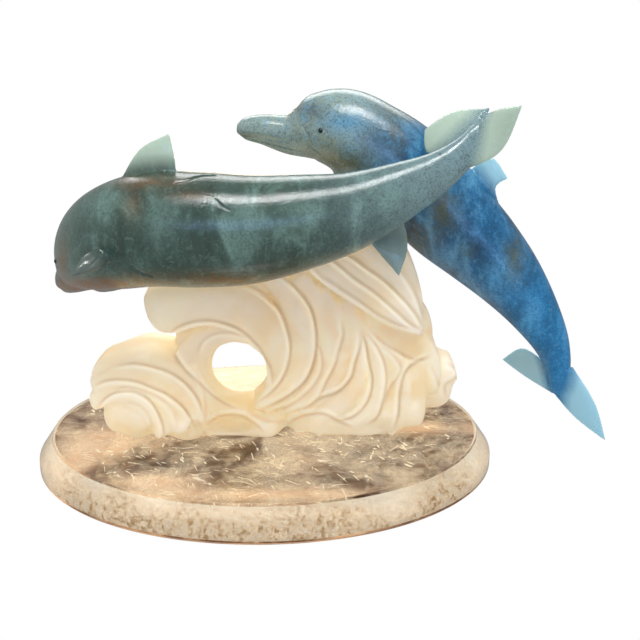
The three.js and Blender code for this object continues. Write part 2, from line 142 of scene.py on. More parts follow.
def start_material(name: str) -> tuple[bpy.types.Material, bpy.types.NodeTree, bpy.types.Node]:
    """Makes an empty material and returns it with its tree and its main shader."""
    material = bpy.data.materials.new(name)
    material.use_nodes = True
    tree = material.node_tree
    tree.nodes.clear()
    shader = add_node(tree, "BsdfPrincipled")
    output = add_node(tree, "OutputMaterial")
    tree.links.new(shader.outputs[0], output.inputs["Surface"])
    return material, tree, shader


def set_shader(shader: bpy.types.Node, values: dict) -> None:
    """Sets plain values on a shader's own sockets."""
    for key, value in values.items():
        shader.inputs[key].default_value = value


def noise(tree: bpy.types.NodeTree, grain_mm: float, detail: float = 4.0, roughness: float = 0.55,
          distortion: float = 0.0, squash: tuple = (1.0, 1.0, 1.0), turn: float = 0.0) -> bpy.types.NodeSocket:
    """Adds a noise with lumps of a real size.

    Args:
        tree: the node tree.
        grain_mm: the size of its lumps in millimetres.
        detail: how many finer octaves it has.
        roughness: how strong they are.
        distortion: how much it is swirled.
        squash: how much shorter the lumps are along each axis.
        turn: how far the axes are turned about the vertical, in radians.

    Returns:
        The noise's value, 0 to 1.
    """
    place = add_node(tree, "TexCoord").outputs["Object"]
    turned = add_node(tree, "Mapping", {"Vector": place, "Rotation": (0.0, 0.0, turn), "Scale": squash},
                      vector_type="TEXTURE" if turn else "POINT")
    made = add_node(tree, "TexNoise", {
        "Vector": turned.outputs[0], "Scale": 1 / (grain_mm * MM), "Detail": detail,
        "Roughness": roughness, "Distortion": distortion,
    })
    return made.outputs["Fac"]


@dataclass(frozen=True)
class PolishedBeryl:
    """Aquamarine cut and polished by hand: glossy, banded and cloudy inside, with iron-stained patches under the skin;
    its colour also carries painted highlights, painted shade and a painted brown glow along some edges.

    Attributes:
        name: the finish's name.
        deep: the clear dark of the stone.
        body: its main colour.
        cloud: its milky clouds.
        head: the tint of the head.
        tail: the tint of the tail.
        fin: the thin dorsal fin and flukes, which let light through.
        flipper: the flippers.
        stain_and_edge_glow: the colour of the iron-stained patches, and of the painted brown glow along some edges.
    """

    name: str
    deep: str
    body: str
    cloud: str
    head: str
    tail: str
    fin: str
    flipper: str
    stain_and_edge_glow: str

    def make(self) -> bpy.types.Material:
        """Beryl: IOR 1.57, a wet gloss broken by the faint chatter of hand polishing, and a cloudy depth."""
        material, tree, shader = start_material(self.name)

        bands = noise(tree, 13, detail=5, roughness=0.6, distortion=0.6, squash=(1.0, 0.6, 0.4))
        wisps = noise(tree, 4.2, detail=7, roughness=0.72, distortion=1.1)
        grain = noise(tree, 1.1, detail=3, roughness=0.65)
        body = add_ramp(tree, bands, [
            (0.36, linear(self.deep)), (0.5, linear(self.body)), (0.66, linear(self.cloud)),
        ])
        along = painted(tree, "along")
        body = mix(tree, add_ramp(tree, along, [(0.22, 0.75), (0.38, 0.0)]), body, linear(self.head))
        body = mix(tree, add_ramp(tree, along, [(0.62, 0.0), (0.95, 0.8)]), body, linear(self.tail))
        # Paler cloud, and painted highlights where the lights catch the head and the flank.
        body = mix(tree, painted(tree, "pale"), body, linear(self.cloud))
        # Darker stone, and painted shade on the belly, under the ridge and beside the flippers.
        body = mix(tree, painted(tree, "dark_stone_and_shade"), body, linear(self.deep))
        body = mix(tree, add_ramp(tree, wisps, [(0.52, 0.0), (0.72, 0.6)]), body, linear(self.cloud))
        body = mix(tree, add_ramp(tree, wisps, [(0.3, 0.6), (0.47, 0.0)]), body, linear(self.deep))
        # Iron stains, and a painted brown glow along some edges, both from the stain patches.
        patches = add_ramp(tree, noise(tree, 5, detail=6, distortion=0.8), [(0.34, 0.35), (0.5, 1.0)])
        stained = add_node(tree, "Math", {0: painted(tree, "stain_and_edge_glow"), 1: patches}, operation="MULTIPLY").outputs[0]
        body = mix(tree, stained, body, linear(self.stain_and_edge_glow))
        body = mix(tree, add_ramp(tree, grain, [(0.36, 0.42), (0.52, 0.0)]), body, linear(self.deep))
        body = mix(tree, add_ramp(tree, painted(tree, "fin"), [(0.0, 0.0), (1.0, 0.85)]), body, linear(self.fin))
        body = mix(tree, add_ramp(tree, painted(tree, "flipper"), [(0.0, 0.0), (1.0, 0.8)]), body, linear(self.flipper))
        tree.links.new(body, shader.inputs["Base Color"])
        tree.links.new(add_ramp(tree, grain, [(0.35, 0.2), (0.6, 0.08)]), shader.inputs["Roughness"])
        chatter = add_node(tree, "Bump", {
            "Height": noise(tree, 1.5, detail=4, roughness=0.7), "Strength": 0.8, "Distance": 0.00019,
        })
        tree.links.new(chatter.outputs[0], shader.inputs["Normal"])
        set_shader(shader, {
            "IOR": 1.57, "Subsurface Weight": 0.25, "Subsurface Scale": 0.003, "Subsurface Radius": (0.8, 1.0, 1.0),
        })
        return material


@dataclass(frozen=True)
class FrostedCrystal:
    """Rock crystal carved in soft folds and left frosted, so that light fills it like wax."""

    name: str = "frosted_rock_crystal"
    body: str = "#fbf1dc"
    warm: str = "#efdcb8"
    cool: str = "#e8e4da"
    # Colours of the painted highlight on carved rims and of the painted shade in the grooves under them.
    rim: str = "#fffdf2"
    groove: str = "#b39a74"
    # Colours of the painted glow, for the light carried up from the floor: top, foot and rims.
    glow_high: str = "#4e4536"
    glow_low: str = "#7a715c"
    glow_rim: str = "#8f8672"
    glow_from: float = 18 * MM
    glow_to: float = 110 * MM

    def make(self) -> bpy.types.Material:
        """Quartz: IOR 1.544, ground matt, half see-through, with painted highlights on its cut edges and painted shade
        in the grooves under them.

        It carries a painted glow, most at the foot, which stands in for the light that it carries up from the bright
        floor.
        """
        material, tree, shader = start_material(self.name)
        body = add_ramp(tree, noise(tree, 30, detail=3, distortion=0.4), [
            (0.38, linear(self.warm)), (0.56, linear(self.body)),
        ])
        body = mix(tree, add_ramp(tree, noise(tree, 42, detail=1), [(0.45, 0.0), (0.6, 0.6)]), body, linear(self.cool))
        # Painted highlight on the rims and painted shade in the grooves.
        body = mix(tree, painted(tree, "rim"), body, linear(self.rim))
        body = mix(tree, painted(tree, "groove"), body, linear(self.groove))
        tree.links.new(body, shader.inputs["Base Color"])
        # Painted glow, brighter at the foot and on the rims, none in the grooves.
        place = add_node(tree, "TexCoord").outputs["Object"]
        height = add_node(tree, "SeparateXYZ", {0: place}).outputs["Z"]
        share = add_node(tree, "MapRange", {
            "Value": height, "From Min": self.glow_from, "From Max": self.glow_to,
        }).outputs["Result"]
        glow = add_ramp(tree, share, [(0.0, linear(self.glow_low)), (0.7, linear(self.glow_high))])
        glow = mix(tree, painted(tree, "rim"), glow, linear(self.glow_rim))
        glow = mix(tree, painted(tree, "groove"), glow, (0, 0, 0, 1))
        tree.links.new(glow, shader.inputs["Emission Color"])
        frost = add_node(tree, "Bump", {
            "Height": noise(tree, 0.9, detail=2), "Strength": 0.12, "Distance": 0.0001,
        })
        tree.links.new(frost.outputs[0], shader.inputs["Normal"])
        set_shader(shader, {
            "Roughness": 0.48, "IOR": 1.544, "Subsurface Weight": 1.0, "Subsurface Scale": 0.03,
            "Subsurface Radius": (1.0, 0.9, 0.7), "Transmission Weight": 0.4, "Emission Strength": 1.0,
        })
        return material


@dataclass(frozen=True)
class ClearCrystal:
    """Rock crystal ground and polished: clear enough to show what is sealed in it."""

    name: str = "clear_rock_crystal"
    tint: str = "#f4e9d6"

    def make(self) -> bpy.types.Material:
        """Quartz: IOR 1.544, clear with a faint warm tint, and a polished skin."""
        material, tree, shader = start_material(self.name)
        set_shader(shader, {
            "Base Color": linear(self.tint), "Roughness": 0.03, "IOR": 1.544, "Transmission Weight": 1.0,
        })
        ripple = add_node(tree, "Bump", {
            "Height": noise(tree, 14, detail=2), "Strength": 0.1, "Distance": 0.0005,
        })
        tree.links.new(ripple.outputs[0], shader.inputs["Normal"])
        return material


@dataclass(frozen=True)
class SealedMineral:
    """Smoke and clouds grown into the crystal, as they show through its polished skin.

    Attributes:
        name: the finish's name.
        dark: the smokiest colour.
        body: the main colour.
        light: the palest clouds.
        grain_mm: the size of the clouds.
        detail: how many finer octaves they have.
        thin: how much its thin places hide.
        thick: how much its thick places hide.
        glow: how strong its painted glow is, against its colour, standing in for the light around it that it scatters
            on.
        pale_glow: the same where it is pale.
    """

    name: str
    dark: str
    body: str
    light: str
    grain_mm: float
    detail: float = 5.0
    thin: float = 1.0
    thick: float = 1.0
    glow: float = 0.4
    pale_glow: float = 0.4

    def make(self) -> bpy.types.Material:
        """Iron-stained quartz: smoky where it is thick, creamy where it is thin, all of it soft-edged."""
        material, tree, shader = start_material(self.name)
        clouds = noise(tree, self.grain_mm, detail=self.detail, roughness=0.62, distortion=0.7)
        body = add_ramp(tree, clouds, [
            (0.38, linear(self.dark)), (0.5, linear(self.body)), (0.64, linear(self.light)),
        ])
        pale = add_ramp(tree, painted(tree, "tone"), [(0.1, 0.0), (0.8, 0.9)])
        body = mix(tree, pale, body, linear(self.light))
        tree.links.new(body, shader.inputs["Base Color"])
        # A painted glow, of its own colour, stronger where it is pale.
        share = mix(tree, pale, (self.glow,) * 3 + (1.0,), (self.pale_glow,) * 3 + (1.0,))
        tree.links.new(mix(tree, 1.0, body, share, "MULTIPLY"), shader.inputs["Emission Color"])
        hides = add_ramp(tree, clouds, [(0.42, self.thick), (0.6, self.thin)])
        tree.links.new(mix(tree, pale, hides, (self.thin,) * 3 + (1.0,)), shader.inputs["Alpha"])
        set_shader(shader, {"Roughness": 0.5, "IOR": 1.55, "Emission Strength": 1.0})
        return material


@dataclass(frozen=True)
class FeatheredVeil:
    """Fans of fine healed cracks, with clear stone between them.

    Attributes:
        name: the finish's name.
        pale: the cracks.
        streak_mm: how thin a crack is.
        stretch: how much longer it is.
        turn: which way the cracks run, in radians.
        fan_mm: how wide a fan of them is.
    """

    name: str
    pale: str
    streak_mm: float
    stretch: float
    turn: float
    fan_mm: float

    def make(self) -> bpy.types.Material:
        """Healed cracks in quartz: white and satin, drawn coarser than the real ones so that they show."""
        material, tree, shader = start_material(self.name)
        streaks = noise(tree, self.streak_mm, detail=3, roughness=0.6, distortion=0.5,
                        squash=(self.stretch, 1.0, 1.0), turn=self.turn)
        fans = add_ramp(tree, noise(tree, self.fan_mm, detail=4, distortion=0.6), [(0.46, 0.0), (0.56, 1.0)])
        cover = add_node(tree, "Math", {0: add_ramp(tree, streaks, [(0.57, 0.0), (0.61, 1.0)]), 1: fans},
                         operation="MULTIPLY").outputs[0]
        tree.links.new(cover, shader.inputs["Alpha"])
        # The cracks carry a painted glint: a pale glow standing in for the light that they catch.
        set_shader(shader, {
            "Base Color": linear(self.pale), "Roughness": 0.4, "IOR": 1.55,
            "Emission Color": linear(self.pale), "Emission Strength": 0.5,
        })
        return material


@dataclass(frozen=True)
class DarkEye:
    """A small domed near-black stone, polished to a wet gloss."""

    name: str = "eye_stone"
    colour: str = "#10151a"

    def make(self) -> bpy.types.Material:
        """Obsidian: IOR 1.5, near black, with a fine lift of colour inside."""
        material, tree, shader = start_material(self.name)
        depth = noise(tree, 0.8, detail=1)
        tree.links.new(
            add_ramp(tree, depth, [(0.4, linear(self.colour)), (0.7, linear("#1c262d"))]),
            shader.inputs["Base Color"],
        )
        set_shader(shader, {"Roughness": 0.05, "IOR": 1.5})
        return material


@dataclass
class Curve:
    """A smooth centripetal curve through chosen points, sampled finely.

    Attributes:
        points: the points that it passes through.
        steps: samples between two points.
    """

    points: Sequence[Sequence[float]]
    steps: int = 40
    path: np.ndarray = field(init=False)
    way: np.ndarray = field(init=False)
    run: np.ndarray = field(init=False)

    def __post_init__(self) -> None:
        """Samples the curve and measures its length."""
        given = np.array(self.points, float)
        given = np.vstack([2 * given[0] - given[1], given, 2 * given[-1] - given[-2]])
        u = np.linspace(0, 1, self.steps, endpoint=False)[:, None]
        pieces = []
        for before, start, end, after in zip(given, given[1:], given[2:], given[3:]):
            gaps = [math.sqrt(np.linalg.norm(b - a)) for a, b in ((before, start), (start, end), (end, after))]
            leave = (start - before) / gaps[0] - (end - before) / (gaps[0] + gaps[1]) + (end - start) / gaps[1]
            reach = (end - start) / gaps[1] - (after - start) / (gaps[1] + gaps[2]) + (after - end) / gaps[2]
            leave, reach = leave * gaps[1], reach * gaps[1]
            pieces.append(
                (2 * u ** 3 - 3 * u ** 2 + 1) * start + (u ** 3 - 2 * u ** 2 + u) * leave
                + (3 * u ** 2 - 2 * u ** 3) * end + (u ** 3 - u ** 2) * reach
            )
        self.path = np.vstack([*pieces, given[-2:-1]])
        self.way = np.gradient(self.path, axis=0)
        self.way /= np.linalg.norm(self.way, axis=1, keepdims=True)
        self.run = np.r_[0, np.cumsum(np.linalg.norm(np.diff(self.path, axis=0), axis=1))]

    def read(self, share: np.ndarray, by_length: bool) -> tuple[np.ndarray, np.ndarray]:
        """Points and directions on the curve.

        Args:
            share: how far along, 0 to 1.
            by_length: whether shares are of its length or of its points.

        Returns:
            The points and the unit directions there.
        """
        scale = self.run / self.run[-1] if by_length else np.linspace(0, 1, len(self.path))
        point = np.stack([np.interp(share, scale, self.path[:, k]) for k in range(3)], -1)
        way = np.stack([np.interp(share, scale, self.way[:, k]) for k in range(3)], -1)
        return point, way / np.linalg.norm(way, axis=-1, keepdims=True)


def read_table(rows: Sequence[Sequence[float]], share: np.ndarray) -> list[np.ndarray]:
    """Reads a table of rows [share, value, ...] smoothly.

    Args:
        rows: the table, with rising shares.
        share: where to read it.

    Returns:
        One array for each value column.
    """
    table = np.array(rows, float)
    place, values = table[:, 0], table[:, 1:]
    slopes = np.zeros_like(values)
    slopes[1:-1] = (values[2:] - values[:-2]) / (place[2:] - place[:-2])[:, None]
    slopes[0] = (values[1] - values[0]) / (place[1] - place[0])
    slopes[-1] = (values[-1] - values[-2]) / (place[-1] - place[-2])
    low = np.clip(np.searchsorted(place, share, side="right") - 1, 0, len(place) - 2)
    span = place[low + 1] - place[low]
    u = np.clip((share - place[low]) / span, 0, 1)
    return [
        (2 * u ** 3 - 3 * u ** 2 + 1) * values[low, k] + (u ** 3 - 2 * u ** 2 + u) * span * slopes[low, k]
        + (3 * u ** 2 - 2 * u ** 3) * values[low + 1, k] + (u ** 3 - u ** 2) * span * slopes[low + 1, k]
        for k in range(values.shape[1])
    ]


def unit(vectors: np.ndarray) -> np.ndarray:
    """Scales each row to length one."""
    return vectors / np.maximum(np.linalg.norm(vectors, axis=-1, keepdims=True), 1e-12)


Place = Callable[[np.ndarray, np.ndarray], np.ndarray]


@lru_cache(maxsize=None)
def unit_sphere(sides: int, rings: int) -> bpy.types.Mesh:
    """A unit sphere's mesh, made once for all skins with as many faces."""
    mesh = bmesh.new()
    bmesh.ops.create_uvsphere(mesh, u_segments=sides, v_segments=rings, radius=1.0)
    data = bpy.data.meshes.new("unit_sphere")
    mesh.to_mesh(data)
    mesh.free()
    return data


def add_skin(mesh: bmesh.types.BMesh, sides: int, rings: int, place: Place) -> None:
    """Adds a closed skin: a sphere whose vertices are laid where place says.

    Args:
        mesh: the mesh that it is added to.
        sides: faces round it.
        rings: faces from pole to pole.
        place: gives points for the polar shares, 0 to 1, and the turns, in radians.
    """
    skin = bmesh.new()
    skin.from_mesh(unit_sphere(sides, rings))
    corners = np.array([vert.co for vert in skin.verts])
    polar = np.arccos(np.clip(corners[:, 2], -1, 1)) / math.pi
    turn = np.arctan2(corners[:, 1], corners[:, 0])
    for vert, point in zip(skin.verts, place(polar, turn)):
        vert.co = point
    bmesh.ops.recalc_face_normals(skin, faces=skin.faces)
    data = bpy.data.meshes.new("skin")
    skin.to_mesh(data)
    skin.free()
    mesh.from_mesh(data)
    bpy.data.meshes.remove(data)


def to_object(name: str, mesh: bmesh.types.BMesh) -> bpy.types.Object:
    """Turns a bmesh into a smooth-shaded object in the scene, and frees it."""
    data = bpy.data.meshes.new(name)
    mesh.to_mesh(data)
    mesh.free()
    made = bpy.data.objects.new(name, data)
    bpy.context.scene.collection.objects.link(made)
    data.polygons.foreach_set("use_smooth", [True] * len(data.polygons))
    return made


def settle(piece: bpy.types.Object) -> None:
    """Applies all modifiers of a piece to its mesh."""
    bpy.context.view_layer.update()
    shaped = piece.evaluated_get(bpy.context.evaluated_depsgraph_get())
    data = bpy.data.meshes.new_from_object(shaped)
    piece.modifiers.clear()
    piece.data = data
    data.polygons.foreach_set("use_smooth", [True] * len(data.polygons))


QUICK_VOXELS = 1.0


def fuse(piece: bpy.types.Object, voxel: float, passes: int) -> None:
    """Fuses overlapping closed parts into one skin and softens it.

    Args:
        piece: the object of the parts.
        voxel: how fine the skin is, in metres.
        passes: how often it is softened.
    """
    remesh = piece.modifiers.new("fuse", "REMESH")
    remesh.mode = "VOXEL"
    remesh.voxel_size = voxel * QUICK_VOXELS
    if passes:
        soften = piece.modifiers.new("soften", "SMOOTH")
        soften.iterations = passes
    settle(piece)


def cut(piece: bpy.types.Object, tool: bpy.types.Object) -> None:
    """Cuts a closed tool out of a closed piece, and removes the tool."""
    made = piece.modifiers.new("cut", "BOOLEAN")
    made.operation = "DIFFERENCE"
    made.solver = "MANIFOLD"
    made.object = tool
    settle(piece)
    bpy.data.objects.remove(tool)


def points_of(piece: bpy.types.Object) -> tuple[np.ndarray, np.ndarray]:
    """The vertices of a piece and their normals."""
    count = len(piece.data.vertices)
    points = np.empty(count * 3, np.float32)
    normals = np.empty(count * 3, np.float32)
    piece.data.vertices.foreach_get("co", points)
    piece.data.vertices.foreach_get("normal", normals)
    return points.reshape(-1, 3).astype(float), normals.reshape(-1, 3).astype(float)


def set_points(piece: bpy.types.Object, points: np.ndarray) -> None:
    """Moves the vertices of a piece."""
    piece.data.vertices.foreach_set("co", points.astype(np.float32).ravel())
    piece.data.update()


def paint(piece: bpy.types.Object, name: str, values: np.ndarray) -> None:
    """Stores one number for each vertex, for the material to read."""
    layer = piece.data.attributes.new(name, "FLOAT", "POINT")
    layer.data.foreach_set("value", values.astype(np.float32))


def distance_to_path(points: np.ndarray, path: np.ndarray) -> np.ndarray:
    """How far each point lies from a path of short straight steps."""
    best = np.full(len(points), np.inf)
    for start, end in zip(path, path[1:]):
        step = end - start
        share = np.clip((points - start) @ step / max(step @ step, 1e-18), 0, 1)
        best = np.minimum(best, np.linalg.norm(points - start - share[:, None] * step, axis=1))
    return best


def finish_piece(piece: bpy.types.Object, material: bpy.types.Material, slot: str, *nodes: str) -> None:
    """Dresses a finished piece, hangs it on the body and hides the solids that it replaces.

    Args:
        piece: the finished object.
        material: its finish.
        slot: the record's material slot; not used.
        nodes: the solids that it replaces.
    """
    piece.data.materials.clear()
    piece.data.materials.append(material)
    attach(piece, BODY)
    if nodes:
        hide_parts(*nodes)
    piece.data.calc_loop_triangles()
    LOG.info("%s: %d triangles", piece.name, len(piece.data.loop_triangles))


@dataclass(frozen=True)
class Viewpoint:
    """The photograph's camera, which also carries places in its picture over to the model.

    Attributes:
        pitch: how far the camera looks down, in degrees.
        distance: from the camera to what it looks at.
        target: what it looks at.
        lens: its lens on a sensor of the given width, both in millimetres.
        sensor: the width of the sensor.
        picture: the picture's width and height in pixels.
    """

    pitch: float = 17.0
    distance: float = 0.555
    target: tuple[float, float, float] = (0.029, 0.0, 0.0755)
    lens: float = 60.0
    sensor: float = 36.0
    picture: int = 640

    def axes(self) -> tuple[np.ndarray, np.ndarray, np.ndarray]:
        """The camera's way to the right, up and forwards."""
        pitch = math.radians(self.pitch)
        forward = np.array([0, math.cos(pitch), -math.sin(pitch)])
        return np.array([1.0, 0, 0]), np.array([0, math.sin(pitch), math.cos(pitch)]), forward

    def eye(self) -> np.ndarray:
        """Where the camera stands."""
        return np.array(self.target) - self.axes()[2] * self.distance

    def project(self, points: np.ndarray) -> np.ndarray:
        """Pixels of points.

        Args:
            points: the points, in metres.

        Returns:
            Their pixels, counted from the picture's top left.
        """
        right, up, forward = self.axes()
        away = points - self.eye()
        scale = self.picture * self.lens / self.sensor / (away @ forward)
        return np.stack([self.picture / 2 + away @ right * scale, self.picture / 2 - away @ up * scale], -1)


VIEW = Viewpoint()


@dataclass
class WaveGround:
    """Where the wave stands, and how large it is."""

    middle: tuple[float, float, float] = (3.585 * MM, 10.962 * MM, 17.8 * MM)
    length: float = 193 * MM
    width: float = 78 * MM
    height: float = 106 * MM

    def at(self, x, y, z) -> np.ndarray:
        """A place from shares of the wave's length, width and height."""
        x, y, z = np.broadcast_arrays(x, y, z)
        return np.stack([x * self.length, y * self.width, z * self.height], -1) + self.middle


@dataclass(frozen=True)
class Crease:
    """A groove cut along a line, which the other side has too.

    Attributes:
        path: the line on the visible side, in the photograph's pixels.
        width: how far it reaches to each side, in metres.
        depth: how deep it is, in metres.
    """

    path: Sequence[tuple[float, float]]
    width: float
    depth: float


@dataclass(frozen=True)
class Patch:
    """A soft patch of another tint, in the photograph's pixels.

    Attributes:
        x: its middle.
        y: its middle.
        wide: half its width.
        tall: half its height.
        strength: how strong it is, 0 to 1, or how far it moves the skin in metres.
    """

    x: float
    y: float
    wide: float
    tall: float
    strength: float


def blobs(pixels: np.ndarray, patches: Sequence[Patch]) -> np.ndarray:
    """The sum of the patches' strengths at each place."""
    values = np.zeros(len(pixels))
    for patch in patches:
        away = ((pixels[:, 0] - patch.x) / patch.wide) ** 2 + ((pixels[:, 1] - patch.y) / patch.tall) ** 2
        values += patch.strength * np.exp(-away)
    return values


def tint(pixels: np.ndarray, patches: Sequence[Patch]) -> np.ndarray:
    """How strongly the patches tint each place, 0 to 1."""
    return np.clip(blobs(pixels, patches), 0, 1)


@dataclass
class Pose:
    """How one dolphin is bent, in shares of its length from its seat.

    Attributes:
        girth: how stout it is against the common body.
        eyes: how far along the body the eyes sit; not used.
        spine: from the tip of the beak to the notch of the tail.
        backs: which way the back faces, evenly spread along the spine.
        fins: front of the root, front edge, tip, rear edge and rear of the root of each fin.
    """

    girth: float
    eyes: float
    spine: Sequence[tuple[float, float, float]]
    backs: Sequence[tuple[float, float, float]]
    fins: dict[str, Sequence[tuple[float, float, float]]]


# A body in shares of its length: [share from the beak, height over the spine, depth under it, half width].
TRUNK = (
    (0.085, 0.012, 0.012, 0.014), (0.105, 0.034, 0.03, 0.034), (0.13, 0.047, 0.042, 0.046),
    (0.165, 0.072, 0.056, 0.058), (0.22, 0.087, 0.076, 0.073), (0.3, 0.094, 0.094, 0.086),
    (0.4, 0.098, 0.1, 0.092), (0.5, 0.095, 0.098, 0.088), (0.6, 0.086, 0.086, 0.077),
    (0.7, 0.071, 0.07, 0.06), (0.8, 0.053, 0.051, 0.041), (0.9, 0.034, 0.033, 0.025),
    (0.97, 0.022, 0.021, 0.015), (1, 0.01, 0.01, 0.008),
)
UPPER_JAW = (
    (0, 0.012, 0.006, 0.012), (0.015, 0.024, 0.012, 0.022), (0.05, 0.031, 0.018, 0.03),
    (0.1, 0.035, 0.026, 0.034), (0.16, 0.04, 0.03, 0.038),
)
LOWER_JAW = (
    (0.006, -0.004, 0.01, 0.01), (0.02, -0.006, 0.02, 0.018), (0.06, -0.01, 0.03, 0.024),
    (0.11, -0.01, 0.042, 0.03), (0.16, -0.01, 0.056, 0.034),
)
BROW_FOLD = (
    (0.112, 0.02, 0.02, 0.02), (0.122, 0.044, 0.034, 0.042), (0.134, 0.046, 0.036, 0.044),
    (0.146, 0.02, 0.02, 0.02),
)
FIN_HALF_THICKNESS = {
    "dorsal": 0.009, "left_flipper": 0.011, "right_flipper": 0.011, "left_fluke": 0.01, "right_fluke": 0.01,
}
FIN_TAPER = 0.5
EYE_RISE = 0.1

FRONT_POSE = Pose(
    girth=0.97,
    eyes=0.172,
    spine=(
        (-0.453, 0.234, -0.103), (-0.417, 0.162, -0.061), (-0.368, 0.09, -0.008), (-0.309, 0.031, 0.036),
        (-0.249, 0, 0.056), (-0.164, -0.014, 0.059), (-0.082, -0.014, 0.059), (0.001, -0.01, 0.069),
        (0.083, 0, 0.085), (0.166, 0.014, 0.116), (0.233, 0.031, 0.148), (0.28, 0.045, 0.185),
        (0.307, 0.055, 0.226),
    ),
    backs=((-0.3, 0.3, 1), (-0.2, 0.2, 1), (0, 0, 1), (0, 0, 1), (-0.2, 0, 1), (-0.6, -0.4, 0.6)),
    fins={
        "dorsal": ((-0.302, 0.014, 0.129), (-0.26, 0.003, 0.189), (-0.211, 0, 0.215), (-0.203, -0.007, 0.177),
                   (-0.199, -0.007, 0.13)),
        "left_flipper": ((-0.321, -0.014, 0.034), (-0.345, -0.09, 0.03), (-0.361, -0.117, 0.003),
                         (-0.319, -0.09, 0.011), (-0.305, -0.014, 0.024)),
        "right_flipper": ((-0.388, 0.076, -0.04), (-0.377, 0.145, -0.09), (-0.337, 0.207, -0.102),
                          (-0.343, 0.145, -0.07), (-0.346, 0.076, -0.033)),
        "left_fluke": ((0.264, 0.038, 0.144), (0.324, -0.007, 0.184), (0.351, -0.041, 0.264),
                       (0.327, 0.014, 0.253), (0.312, 0.062, 0.239)),
        "right_fluke": ((0.251, 0.048, 0.167), (0.214, 0.079, 0.173), (0.212, 0.107, 0.207),
                        (0.256, 0.083, 0.24), (0.317, 0.062, 0.249)),
    },
)
BACK_POSE = Pose(
    girth=1.06,
    eyes=0.187,
    spine=(
        (-0.333, 0.064, 0.222), (-0.279, 0.06, 0.223), (-0.219, 0.056, 0.217), (-0.159, 0.052, 0.222),
        (-0.101, 0.048, 0.216), (-0.044, 0.044, 0.185), (0.01, 0.04, 0.149), (0.071, 0.028, 0.095),
        (0.127, 0.012, 0.039), (0.188, -0.012, -0.017), (0.244, -0.04, -0.074), (0.296, -0.068, -0.141),
        (0.336, -0.092, -0.209), (0.354, -0.096, -0.271), (0.355, -0.084, -0.321),
    ),
    backs=((0, 0, 1), (0.1, 0, 1), (0.6, 0, 0.8), (0.8, 0.1, 0.6), (0.9, 0.2, 0.4), (0.74, 0.5, 0.46)),
    fins={
        "dorsal": ((0.14, 0.024, 0.121), (0.205, 0.016, 0.172), (0.244, 0.008, 0.128), (0.219, 0.008, 0.109),
                   (0.229, 0.004, 0.065)),
        "left_flipper": ((-0.096, -0.04, 0.09), (-0.064, -0.176, 0.041), (0.001, -0.208, -0.032),
                         (0.019, -0.184, 0.025), (-0.001, -0.048, 0.104)),
        "right_flipper": ((-0.084, 0.088, 0.088), (-0.041, 0.144, -0.002), (0.022, 0.176, -0.087),
                          (0.027, 0.144, 0.005), (0, 0.096, 0.096)),
        "left_fluke": ((0.379, -0.112, -0.252), (0.432, -0.12, -0.335), (0.463, -0.116, -0.424),
                       (0.395, -0.096, -0.374), (0.349, -0.076, -0.324)),
        "right_fluke": ((0.326, -0.088, -0.251), (0.288, -0.024, -0.241), (0.254, 0.032, -0.286),
                        (0.298, -0.016, -0.309), (0.354, -0.072, -0.33)),
    },
)


